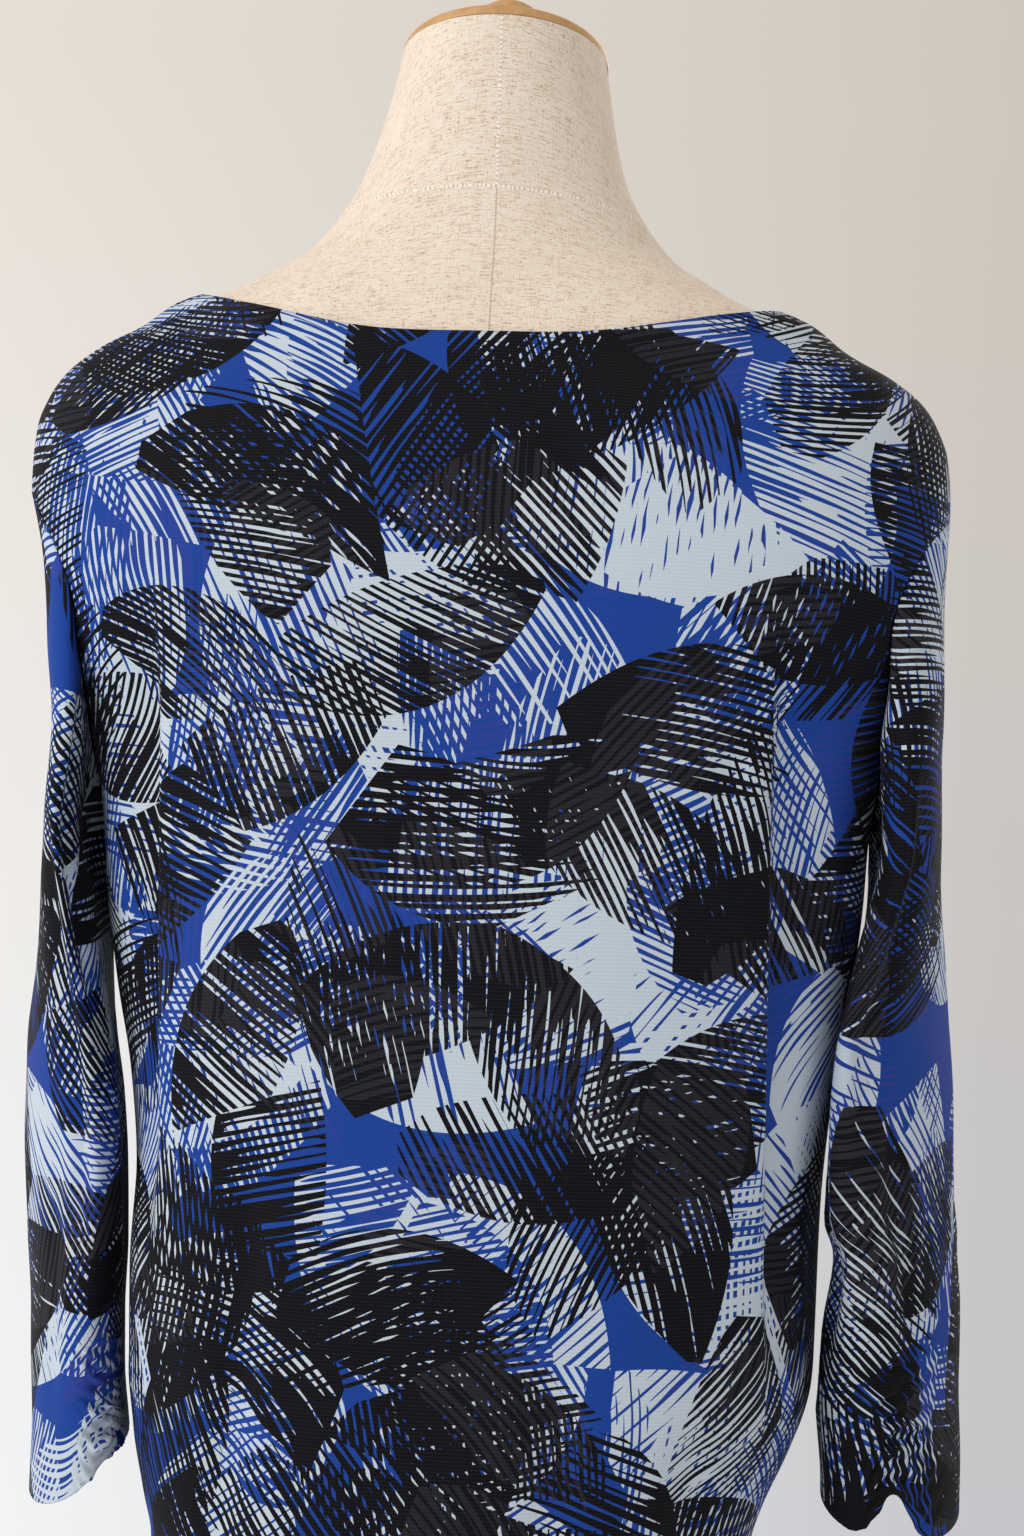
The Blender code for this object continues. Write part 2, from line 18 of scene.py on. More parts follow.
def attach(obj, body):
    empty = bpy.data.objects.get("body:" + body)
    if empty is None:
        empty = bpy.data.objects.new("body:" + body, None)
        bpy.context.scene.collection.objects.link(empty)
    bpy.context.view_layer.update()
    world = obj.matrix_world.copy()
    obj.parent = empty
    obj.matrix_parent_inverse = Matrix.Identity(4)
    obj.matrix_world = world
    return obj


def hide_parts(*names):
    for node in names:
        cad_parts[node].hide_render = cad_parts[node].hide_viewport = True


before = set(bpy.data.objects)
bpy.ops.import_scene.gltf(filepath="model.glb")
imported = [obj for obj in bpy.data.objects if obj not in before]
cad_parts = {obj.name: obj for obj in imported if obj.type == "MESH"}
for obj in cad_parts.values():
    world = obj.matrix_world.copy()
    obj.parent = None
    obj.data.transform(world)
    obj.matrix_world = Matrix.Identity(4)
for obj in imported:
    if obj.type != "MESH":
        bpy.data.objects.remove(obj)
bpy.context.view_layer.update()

# The form is a padded torso with a cover of natural linen canvas, cut in panels that meet in a seam
# down the middle of the back and the front, and sewn to a separate neck piece by a seam round the neck's
# base. The cover is stretched smooth, so all its relief is thread and seam.
NECK_POINT_HEIGHT = 0.900
NECK_TOP = 0.131
NECK_SLOPE = math.radians(14)
NECK_BASE = 0.060
FORM_TILT = 0.020
NECK_LEAN = 0.002
FORM_BOTTOM = -0.740
TILT_FROM, TILT_FULL = -0.25, -0.03
SLOPE_FROM = 0.05
FORM_SIDES = 144
FORM_RINGS = 190
SHARP_EDGE = math.radians(50)
WELD = 1e-6
NECK_SEAM = {"side": 0.042, "back_rise": 0.010, "front_drop": 0.020, "middle": 0.006}


def table(columns, *rows):
    """Named columns of numbers, one row for each height."""
    return dict(zip(columns.split(), np.array(rows).T))


FORM = table(
    "z half_width back front squareness",
    (-0.740, 0.1380, 0.101, 0.096, 2.3),
    (-0.734, 0.1430, 0.106, 0.101, 2.3),
    (-0.670, 0.1505, 0.111, 0.106, 2.3),
    (-0.600, 0.1515, 0.110, 0.106, 2.3),
    (-0.530, 0.1440, 0.101, 0.101, 2.3),
    (-0.460, 0.1280, 0.088, 0.092, 2.3),
    (-0.400, 0.1200, 0.080, 0.088, 2.3),
    (-0.320, 0.1370, 0.092, 0.110, 2.3),
    (-0.250, 0.1550, 0.104, 0.130, 2.3),
    (-0.180, 0.1660, 0.107, 0.121, 2.3),
    (-0.140, 0.1740, 0.106, 0.107, 2.3),
    (-0.100, 0.1830, 0.098, 0.090, 2.3),
    (-0.060, 0.1890, 0.087, 0.070, 2.3),
    (-0.036, 0.1900, 0.079, 0.060, 2.3),
    (-0.023, 0.1825, 0.0745, 0.055, 2.2),
    (-0.013, 0.1700, 0.071, 0.051, 2.2),
    (-0.005, 0.1535, 0.0685, 0.048, 2.2),
    (0.002, 0.1375, 0.0665, 0.046, 2.2),
    (0.0155, 0.1140, 0.061, 0.045, 2.1),
    (0.022, 0.1025, 0.0585, 0.046, 2.1),
    (0.046, 0.0820, 0.0545, 0.050, 2.1),
    (0.062, 0.0730, 0.0525, 0.054, 2.0),
    (0.084, 0.0655, 0.0505, 0.058, 2.0),
    (0.111, 0.0590, 0.0490, 0.060, 2.0),
    (0.131, 0.0552, 0.0478, 0.060, 2.0),
)


def smooth(rows, column, z):
    """A column's value at height z, on a curve through the rows that never swings past them."""
    heights, values = rows["z"], rows[column]
    steps = np.diff(heights)
    slopes = np.diff(values) / steps
    before, after = slopes[:-1], slopes[1:]
    same_way = before * after > 0
    total = np.where(same_way, before + after, 1.0)
    inner = np.where(same_way, 2 * before * after / total, 0.0)
    tangents = np.concatenate([slopes[:1], inner, slopes[-1:]])
    z = np.clip(z, heights[0], heights[-1])
    row = np.clip(np.searchsorted(heights, z) - 1, 0, len(steps) - 1)
    t = (z - heights[row]) / steps[row]
    value = (2 * t**3 - 3 * t**2 + 1) * values[row] + (3 * t**2 - 2 * t**3) * values[row + 1]
    bend = (t**3 - 2 * t**2 + t) * tangents[row] + (t**3 - t**2) * tangents[row + 1]
    return value + bend * steps[row]


def ease(low, high, value):
    """0 below low, 1 above high, and a soft rise between them."""
    t = np.clip((value - low) / (high - low), 0.0, 1.0)
    return t * t * (3 - 2 * t)


def oval(rows, angle, z, side):
    """Points of a section: the angle is 0 at the right side seam and pi at the left one."""
    half_width = smooth(rows, "half_width", z)
    depth = smooth(rows, "back" if side < 0 else "front", z)
    power = smooth(rows, "squareness", z)
    across, out = np.abs(np.cos(angle)) / half_width, np.sin(angle) / depth
    radius = (across**power + out**power) ** (-1 / power)
    return np.stack([radius * np.cos(angle), side * radius * np.sin(angle), z + 0 * angle], -1)


def along(points, axis):
    """How far each point of a grid lies along its row (axis 1) or column (axis 0) from the first one."""
    steps = np.linalg.norm(np.diff(points, axis=axis), axis=2)
    start = np.zeros_like(np.take(steps, [0], axis))
    return np.concatenate([start, np.cumsum(steps, axis)], axis)


def add_object(name, data):
    """A new object in the scene, made of a mesh, a lamp or a camera."""
    item = bpy.data.objects.new(name, data)
    bpy.context.scene.collection.objects.link(item)
    return item


def dress(item, material, node_name):
    """Gives a piece its material, hides the solid that it stands for, and sets it on the body it rides on.
    """
    item.data.materials.append(material)
    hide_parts(node_name)
    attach(item, "root")
    return item


def surface(name, grids, places, closed=False, marks=None, cut=math.inf):
    """A mesh of one grid of points, or a thin wall between two, with its flat places in metres as a UV map.

    At the cut, where one piece of cloth ends and another begins, the places have two columns.
    """
    rows, columns = grids[0].shape[:2]
    last = columns if closed else columns - 1
    start = np.arange(rows * columns).reshape(rows, columns)
    here, near = np.arange(last), (np.arange(last) + 1) % columns
    spot = here + (here >= cut)
    flat = np.arange(places.shape[0] * places.shape[1]).reshape(places.shape[:2])

    def quads(index, first, second):
        upper, lower = index[:-1], index[1:]
        loops = [upper[:, first], upper[:, second], lower[:, second], lower[:, first]]
        return np.stack(loops, -1).reshape(-1, 4)

    corners, spots = [quads(start, here, near)], [quads(flat, spot, spot + 1)]
    if len(grids) == 2:
        inner = start + rows * columns
        corners.append(quads(inner, here, near)[:, ::-1])
        spots.append(quads(flat, spot, spot + 1)[:, ::-1])
        for row in (0, -1):
            rim = [start[row, here], start[row, near], inner[row, near], inner[row, here]]
            edge = [flat[row, here], flat[row, here + 1], flat[row, here + 1], flat[row, here]]
            corners.append(np.stack(rim, -1))
            spots.append(np.stack(edge, -1))
        for column in () if closed else (0, -1):
            rim = [start[:-1, column], start[1:, column], inner[1:, column], inner[:-1, column]]
            edge = [flat[:-1, column], flat[1:, column], flat[1:, column], flat[:-1, column]]
            corners.append(np.stack(rim, -1))
            spots.append(np.stack(edge, -1))
    mesh = bpy.data.meshes.new(name)
    points = np.concatenate([grid.reshape(-1, 3) for grid in grids])
    mesh.from_pydata(points.tolist(), [], np.concatenate(corners).tolist())
    layer = mesh.uv_layers.new(name="cloth")
    layer.data.foreach_set("uv", places.reshape(-1, 2)[np.concatenate(spots).ravel()].ravel())
    for mark, values in (marks or {}).items():
        attribute = mesh.attributes.new(mark, "FLOAT", "POINT")
        attribute.data.foreach_set("value", np.tile(values.ravel(), len(grids)).astype(np.float32))
    shaper = bmesh.new()
    shaper.from_mesh(mesh)
    bmesh.ops.recalc_face_normals(shaper, faces=shaper.faces[:])
    shaper.to_mesh(mesh)
    shaper.free()
    mesh.shade_smooth()
    return add_object(name, mesh)


def linear(colour):
    """An sRGB hex colour as linear red, green, blue and alpha."""
    parts = [int(colour[k : k + 2], 16) / 255 for k in (0, 2, 4)]
    return [c / 12.92 if c <= 0.04045 else ((c + 0.055) / 1.055) ** 2.4 for c in parts] + [1.0]


def node(tree, kind, inputs=(), **settings):
    """Adds one node with its settings, and fills its inputs with values or with other nodes' outputs."""
    made = tree.nodes.new(kind if kind.startswith("Node") else "ShaderNode" + kind)
    for setting, value in settings.items():
        setattr(made, setting, value)
    for socket, value in dict(inputs).items():
        if isinstance(value, bpy.types.bpy_prop_collection):
            value = value[0]
        if isinstance(value, bpy.types.NodeSocket):
            tree.links.new(value, made.inputs[socket])
        else:
            made.inputs[socket].default_value = value
    return made.outputs


def new_material(name):
    """An empty node material and its tree."""
    material = bpy.data.materials.new(name)
    material.use_nodes = True
    material.node_tree.nodes.clear()
    return material, material.node_tree


def sine(tree, distance, spacing):
    """A sine of a distance along the cloth, with one wave for each spacing."""
    turns = node(tree, "Math", {0: distance, 1: 2 * math.pi / spacing}, operation="MULTIPLY")
    return node(tree, "Math", {0: turns}, operation="SINE")


def linen_canvas():
    """Natural linen, plain-woven: cream threads with many short tan slubs, most of them along the weft.

    The real threads are 0.5 mm apart, and are drawn 1.0 mm apart so that the weave shows. A topstitched
    seam is a raised line, painted paler along its ridge as a painted highlight, with a dark stitch hole
    about every 2.5 mm. Below the neck's base the middle seam is ironed open, and a thin dark line of
    painted shadow runs along it.
    """
    thread, stitch, drift = 0.0010, 0.0025, 0.002785
    material, tree = new_material("linen_canvas")
    place = node(tree, "UVMap", uv_map="cloth")
    parts = node(tree, "SeparateXYZ", {0: place})
    warp, weft = (node(tree, "MapRange", {0: sine(tree, parts[axis], thread), 1: -1.0}) for axis in "XY")
    weave = node(tree, "Math", {0: warp, 1: weft}, operation="MULTIPLY")
    cloudy = node(tree, "TexNoise", {"Vector": place, "Scale": 22.0, "Detail": 3.0})
    ground = node(
        tree,
        "MixRGB",
        {"Fac": cloudy, "Color1": linear("e2d8cc"), "Color2": linear("f1e9e1")},
    )
    pores = node(tree, "MapRange", {0: weave, 1: 0.0, 2: 0.30, 3: 0.28, 4: 0.0})
    ground = node(tree, "MixRGB", {"Fac": pores, "Color1": ground, "Color2": linear("cbbba3")})
    patchy = node(tree, "TexNoise", {"Vector": place, "Scale": 60.0, "Detail": 1.0}, noise_dimensions="2D")
    patchy = node(tree, "Math", {0: patchy, 1: 0.5}, operation="SUBTRACT")
    slubs = []
    for width, height, least, most, strength, colour in (
        # across, up, noise where it begins and where it is full, strength, colour
        (0.0065, 0.0008, 0.57, 0.76, 0.66, "b8946a"),
        (0.0008, 0.0060, 0.56, 0.80, 0.46, "c0a47d"),
        (0.0022, 0.0010, 0.66, 0.74, 0.78, "a07a50"),
        (0.0200, 0.0011, 0.52, 0.76, 0.32, "b99d76"),
    ):
        per_slub = (1 / width, 1 / height, 1.0)
        stretched = node(tree, "VectorMath", {0: place, 1: per_slub}, operation="MULTIPLY")
        streak = node(
            tree, "TexNoise", {"Vector": stretched, "Scale": 1.0, "Detail": 2.0}, noise_dimensions="2D"
        )
        streak = node(tree, "Math", {0: patchy, 1: 0.08, 2: streak}, operation="MULTIPLY_ADD")
        slub = node(tree, "MapRange", {0: streak, 1: least, 2: most, 3: 0.0, 4: strength})
        ground = node(tree, "MixRGB", {"Fac": slub, "Color1": ground, "Color2": linear(colour)})
        slubs.append(slub)
    raised = node(tree, "Math", {0: slubs[0], 1: slubs[1]}, operation="ADD")
    relief = node(tree, "Math", {0: raised, 1: 1.2, 2: weave}, operation="MULTIPLY_ADD")
    uneven = node(tree, "TexNoise", {"Vector": place, "Scale": 260.0, "Detail": 1.0}, noise_dimensions="2D")
    neck_base = node(tree, "Attribute", attribute_name="neck_base")["Fac"]
    above = node(tree, "Math", {0: neck_base, 1: 0.0}, operation="GREATER_THAN")
    below = node(tree, "Math", {0: neck_base, 1: 0.0}, operation="LESS_THAN")
    for mark, half_width, lengthways in (("middle", 0.0010, "Y"), ("neck_base", 0.0011, "X")):
        distance = node(tree, "Attribute", attribute_name=mark)["Fac"]
        distance = node(tree, "Math", {0: distance}, operation="ABSOLUTE")
        ridge = node(tree, "MapRange", {0: distance, 1: 0.4 * half_width, 2: half_width, 3: 1.0, 4: 0.0})
        along_seam = {0: uneven, 1: drift, 2: parts[lengthways]}
        along_seam = node(tree, "Math", along_seam, operation="MULTIPLY_ADD")
        holes = node(tree, "MapRange", {0: sine(tree, along_seam, stitch), 1: 0.3, 2: 0.8})
        if mark == "middle":
            # A thin dark line of painted shadow along the middle seam, below the neck's base
            seam_shadow = node(tree, "MapRange", {0: distance, 1: 0.0002, 2: 0.0006, 3: 0.44, 4: 0.0})
            seam_shadow = node(tree, "Math", {0: seam_shadow, 1: below}, operation="MULTIPLY")
            ground = node(tree, "MixRGB", {"Fac": seam_shadow, "Color1": ground, "Color2": linear("85735c")})
            ridge = node(tree, "Math", {0: ridge, 1: above}, operation="MULTIPLY")
        holes = node(tree, "Math", {0: holes, 1: ridge}, operation="MULTIPLY")
        # The ridge is painted paler than the cloth round it: a painted highlight on the raised seam
        pale = node(tree, "Math", {0: ridge, 1: 0.60}, operation="MULTIPLY")
        ground = node(tree, "MixRGB", {"Fac": pale, "Color1": ground, "Color2": linear("fbf6ee")})
        dark = node(tree, "Math", {0: holes, 1: 0.50}, operation="MULTIPLY")
        ground = node(tree, "MixRGB", {"Fac": dark, "Color1": ground, "Color2": linear("85735c")})
        relief = node(tree, "Math", {0: ridge, 1: 1.6, 2: relief}, operation="MULTIPLY_ADD")
        relief = node(tree, "Math", {0: holes, 1: -2.4, 2: relief}, operation="MULTIPLY_ADD")
    bump = node(tree, "Bump", {"Strength": 0.45, "Distance": 0.0003, "Height": relief})
    shader = node(
        tree,
        "BsdfPrincipled",
        {
            "Base Color": ground,
            "Roughness": 0.88,
            "Specular IOR Level": 0.25,
            "Sheen Weight": 0.08,
            "Sheen Roughness": 0.5,
            "Normal": bump,
        },
    )
    node(tree, "OutputMaterial", {"Surface": shader})
    return material


def tilted(points):
    """Tips the form's shoulders and neck a little to the wearer's right, about the neck's base."""
    x, z = points[..., 0], points[..., 2]
    share = ease(TILT_FROM, TILT_FULL, z)
    across = FORM_TILT * (z - NECK_BASE) * share + NECK_LEAN * ease(NECK_BASE, 2 * NECK_BASE, z)
    return points + np.stack([across, 0 * x, -FORM_TILT * x * share], -1)


def padded_form():
    """The torso and neck: a loft of oval sections, whose top slopes down to the front under the cap."""
    turn = np.linspace(0, 2 * math.pi, FORM_SIDES, endpoint=False)
    turn, level = np.meshgrid(turn, np.linspace(FORM_BOTTOM, NECK_TOP, FORM_RINGS))
    half = np.where(turn < math.pi, turn, 2 * math.pi - turn)
    at_back = (turn < math.pi)[..., None]
    grid = np.where(at_back, oval(FORM, half, level, -1), oval(FORM, half, level, 1))
    slope = math.tan(NECK_SLOPE) * ease(SLOPE_FROM, NECK_TOP, level)
    grid = tilted(grid)
    grid[..., 2] += NECK_POINT_HEIGHT - slope * grid[..., 1]
    seam = NECK_SEAM["side"] + np.where(
        turn < math.pi, NECK_SEAM["back_rise"] * np.sin(half), -NECK_SEAM["front_drop"] * np.sin(half)
    )
    wrapped = np.concatenate([grid, grid[:, :1]], 1)
    around, up = along(wrapped, 1), along(wrapped, 0)
    side, halves = FORM_SIDES // 2, []
    for columns, centre in ((slice(0, side + 1), side // 2), (slice(side, None), side + side // 2)):
        off_centre = around[:, columns] - around[:, centre : centre + 1]
        halves.append(np.stack([off_centre, up[:, columns]], -1))
    places = np.concatenate(halves, 1)
    marks = {"middle": grid[..., 0] - NECK_SEAM["middle"], "neck_base": level - seam}
    lids = [np.full_like(grid[:1], 0) + grid[end].mean(0) for end in (0, -1)]
    grid = np.concatenate([lids[0], grid, lids[1]])
    far = np.full_like(level[:1], 1.0)
    for mark, values in marks.items():
        marks[mark] = np.concatenate([far, values, far])
    places = np.concatenate([places[:1], places, places[-1:]])
    return surface("linen_form", [grid], places, closed=True, marks=marks, cut=side)


form = padded_form()
welder = bmesh.new()
welder.from_mesh(form.data)
bmesh.ops.remove_doubles(welder, verts=welder.verts[:], dist=WELD)
bmesh.ops.recalc_face_normals(welder, faces=welder.faces[:])
form_surface = BVHTree.FromBMesh(welder)
welder.to_mesh(form.data)
welder.free()
form.data.set_sharp_from_angle(angle=SHARP_EDGE)
dress(form, linen_canvas(), "form")

# The form's fittings are turned from beech and oiled: a thin cap with a knob on the neck, a straight
# pole and a round base. Beech is pinkish brown with short dark flecks, and turning leaves it satin.
BASE_RADIUS = 0.170
BASE_HEIGHT = 0.024
POLE_RADIUS = 0.017
CAP_RADIUS = 0.0560
CAP_HEIGHT = 0.0060
TOUCH_GAP = 0.0003
LATHE_STEPS = 128
CORNER_STEPS = 6


def oiled_beech():
    """Oiled beech: warm brown, long soft grain with short dark flecks 3 mm long, satin."""
    fleck_length, fleck_width, grain_width = 0.0030, 0.0005, 0.0060
    material, tree = new_material("oiled_beech")
    place = node(tree, "TexCoord")["Object"]
    stretch = (1 / grain_width, 0.10 / grain_width, 1 / grain_width)
    grained = node(tree, "VectorMath", {0: place, 1: stretch}, operation="MULTIPLY")
    grain = node(tree, "TexNoise", {"Vector": grained, "Scale": 1.0, "Detail": 4.0, "Distortion": 0.4})
    stretch = (1 / fleck_width, 1 / fleck_length, 1 / fleck_width)
    flecked = node(tree, "VectorMath", {0: place, 1: stretch}, operation="MULTIPLY")
    fleck = node(tree, "TexNoise", {"Vector": flecked, "Scale": 1.0, "Detail": 1.0})
    fleck = node(tree, "MapRange", {0: fleck, 1: 0.62, 2: 0.72})
    brown = node(tree, "MixRGB", {"Fac": grain, "Color1": linear("a67a48"), "Color2": linear("d3aa76")})
    dark = node(tree, "Math", {0: fleck, 1: 0.5}, operation="MULTIPLY")
    brown = node(tree, "MixRGB", {"Fac": dark, "Color1": brown, "Color2": linear("7c5430")})
    bump = node(tree, "Bump", {"Strength": 0.15, "Distance": 0.0003, "Height": grain})
    shine = node(tree, "MapRange", {0: grain, 3: 0.34, 4: 0.50})
    shader = node(
        tree,
        "BsdfPrincipled",
        {"Base Color": brown, "Roughness": shine, "Coat Weight": 0.15, "Normal": bump},
    )
    node(tree, "OutputMaterial", {"Surface": shader})
    return material


def turned(name, node_name, profile, seat=None):
    """A turned piece: a profile of radii and heights, spun round the Z axis and set on its seat."""
    lathe = bmesh.new()
    line = [lathe.verts.new((radius, 0, z)) for radius, z in profile]
    edges = [lathe.edges.new(pair) for pair in zip(line, line[1:])]
    bmesh.ops.spin(
        lathe,
        geom=line + edges,
        axis=(0, 0, 1),
        cent=(0, 0, 0),
        angle=2 * math.pi,
        steps=LATHE_STEPS,
        use_merge=True,
    )
    bmesh.ops.remove_doubles(lathe, verts=lathe.verts[:], dist=WELD)
    bmesh.ops.dissolve_degenerate(lathe, edges=lathe.edges[:], dist=1e-7)
    bmesh.ops.recalc_face_normals(lathe, faces=lathe.faces[:])
    mesh = bpy.data.meshes.new(name)
    lathe.to_mesh(mesh)
    lathe.free()
    mesh.shade_smooth()
    mesh.set_sharp_from_angle(angle=SHARP_EDGE)
    if seat:
        mesh.transform(seat)
    return dress(add_object(name, mesh), beech, node_name)


def rounded(radius, z, corner, upwards):
    """Points round the outer corner of a turned edge, from its side to its flat."""
    points = []
    for k in range(CORNER_STEPS + 1):
        t = k / CORNER_STEPS * math.pi / 2
        across, up = corner * (math.cos(t) - 1), corner * (math.sin(t) - 1)
        points.append((radius + across, z + (up if upwards else -up)))
    return points if upwards else points[::-1]


beech = oiled_beech()
knob = [(0.030, 0.0035), (0.0155, 0.005), (0.0145, 0.009), (0.0165, 0.013), (0.0185, 0.017)]
knob += [(0.0180, 0.022), (0.0165, 0.026), (0.0130, 0.0288), (0.0090, 0.030), (0.0045, 0.0308), (0, 0.031)]
cap_rim = rounded(CAP_RADIUS, 0, 0.001, False) + rounded(CAP_RADIUS, CAP_HEIGHT, 0.0025, True)
cap_top = [(radius, CAP_HEIGHT + z) for radius, z in knob]
centre_y = float(smooth(FORM, "front", NECK_TOP) - smooth(FORM, "back", NECK_TOP)) / 2
seat_z = NECK_POINT_HEIGHT + NECK_TOP - math.tan(NECK_SLOPE) * centre_y
centre_x = FORM_TILT * (NECK_TOP - NECK_BASE) + NECK_LEAN
tilt = Matrix.Rotation(FORM_TILT, 4, "Y") @ Matrix.Rotation(-NECK_SLOPE, 4, "X")
lift = tilt @ Vector((0, 0, TOUCH_GAP))
cap_seat = Matrix.Translation(Vector((centre_x, centre_y, seat_z)) + lift) @ tilt
turned("turned_cap", "neck_cap", [(0, 0)] + cap_rim + cap_top, cap_seat)

base_rim = rounded(BASE_RADIUS, 0, 0.002, False) + rounded(BASE_RADIUS, BASE_HEIGHT, 0.006, True)
turned("turned_base", "base", [(0, 0)] + base_rim + [(0, BASE_HEIGHT)])

pole_low, pole_high = BASE_HEIGHT + TOUCH_GAP, NECK_POINT_HEIGHT + FORM_BOTTOM - TOUCH_GAP
pole_line = [(0, pole_low), (POLE_RADIUS, pole_low), (POLE_RADIUS, pole_high), (0, pole_high)]
turned("turned_pole", "pole", pole_line)

# The blouse's back and front are cut from a fine, sheer mesh knit, printed before it was cut: a blue
# ground, then pale, blue and black plates of dry-brushed petals. The two panels are sewn at the sides
# and shoulders and hang from the shoulders, with loose tucks that fall from the armholes.
CLOTH = 0.0015
CLOTH_DRAWN = 0.0009
HEM = -0.700
UNDERARM = -0.285
SHOULDER_POINT = -0.108
NECK_POINT = -0.0015
NECKLINE_CURVE = 5.5
ARMHOLE_HALF_DEPTH = 0.074
NECKLINE_SHARE = 0.55
SEAM_GAP = 0.0006
FORM_GAP = 0.0011
SHOULDER_CURVE = 1.75
SHOULDER_LEAN = 0.005
LEAN_REACH = 0.20
LEAN_FROM, LEAN_FULL = -0.30, -0.10
SWAY = 0.004
SWAY_FROM, SWAY_FULL = 0.07, 0.22
HEM_SWING = 0.0085
SWING_FROM, SWING_FULL = 0.56, 0.65
BODY_HAZE = 0.40
BODY_COLUMNS = 176
BODY_ROWS = 118
ARMHOLE_ROWS = 72

BODY = table(
    "z half_width back front squareness",
    (-0.700, 0.159, 0.126, 0.132, 2.4),
    (-0.660, 0.1605, 0.127, 0.133, 2.4),
    (-0.635, 0.1665, 0.128, 0.134, 2.4),
    (-0.605, 0.176, 0.128, 0.134, 2.4),
    (-0.570, 0.183, 0.128, 0.135, 2.5),
    (-0.480, 0.185, 0.127, 0.136, 2.5),
    (-0.420, 0.190, 0.126, 0.137, 2.5),
    (-0.365, 0.198, 0.124, 0.139, 2.5),
    (-0.320, 0.203, 0.122, 0.140, 2.6),
    (-0.285, 0.205, 0.120, 0.140, 2.7),
    (-0.230, 0.2145, 0.118, 0.135, 2.65),
    (-0.180, 0.233, 0.115, 0.124, 2.8),
    (-0.140, 0.2435, 0.112, 0.116, 3.0),
    (-0.108, 0.2465, 0.107, 0.101, 2.7),
    (-0.095, 0.247, 0.104, 0.094, 2.5),
    (-0.076, 0.2455, 0.098, 0.084, 2.4),
    (-0.060, 0.240, 0.092, 0.076, 2.3),
    (-0.049, 0.2335, 0.087, 0.070, 2.2),
    (-0.035, 0.217, 0.080, 0.063, 2.2),
    (-0.021, 0.1915, 0.0745, 0.057, 2.2),
    (-0.007, 0.1725, 0.070, 0.052, 2.2),
    (-0.0015, 0.157, 0.0675, 0.0495, 2.2),
)

# Tucks that hang from the armholes: the cloth turns under at a line and comes out again beyond it
TUCKS = table(
    "face x_high x_low low high depth inner outer hidden",
    (-1, 0.158, 0.163, -0.600, -0.150, 0.011, 0.006, 0.024, 0.026),
    (-1, -0.168, -0.166, -0.520, -0.150, 0.011, 0.006, 0.022, 0.022),
    (1, 0.165, 0.158, -0.540, -0.170, 0.011, 0.008, 0.026, 0.024),
    (1, -0.160, -0.166, -0.580, -0.160, 0.012, 0.008, 0.024, 0.026),
)

# Soft creases, each a straight stretch of trough between two points of the cloth
BODY_CREASES = table(
    "face x_high z_high x_low z_low depth width",
    (-1, -0.104, -0.420, -0.112, -0.690, 0.0050, 0.012),
    (-1, 0.050, -0.520, 0.066, -0.695, 0.0040, 0.014),
    (-1, -0.178, -0.150, -0.120, -0.330, 0.0018, 0.007),
    (-1, 0.176, -0.140, 0.112, -0.300, 0.0018, 0.008),
    (-1, 0.120, -0.560, 0.135, -0.690, 0.0030, 0.010),
    (-1, -0.030, -0.600, -0.022, -0.697, 0.0022, 0.012),
    (-1, 0.020, -0.032, 0.060, -0.110, 0.0012, 0.010),
    (1, 0.070, -0.380, 0.078, -0.690, 0.0060, 0.016),
    (1, -0.082, -0.450, -0.094, -0.690, 0.0050, 0.014),
    (1, 0.012, -0.540, 0.004, -0.695, 0.0030, 0.013),
    (1, 0.170, -0.140, 0.100, -0.260, 0.0022, 0.008),
    (1, -0.172, -0.150, -0.110, -0.280, 0.0022, 0.009),
    (1, -0.060, -0.075, 0.000, -0.130, 0.0016, 0.010),
)


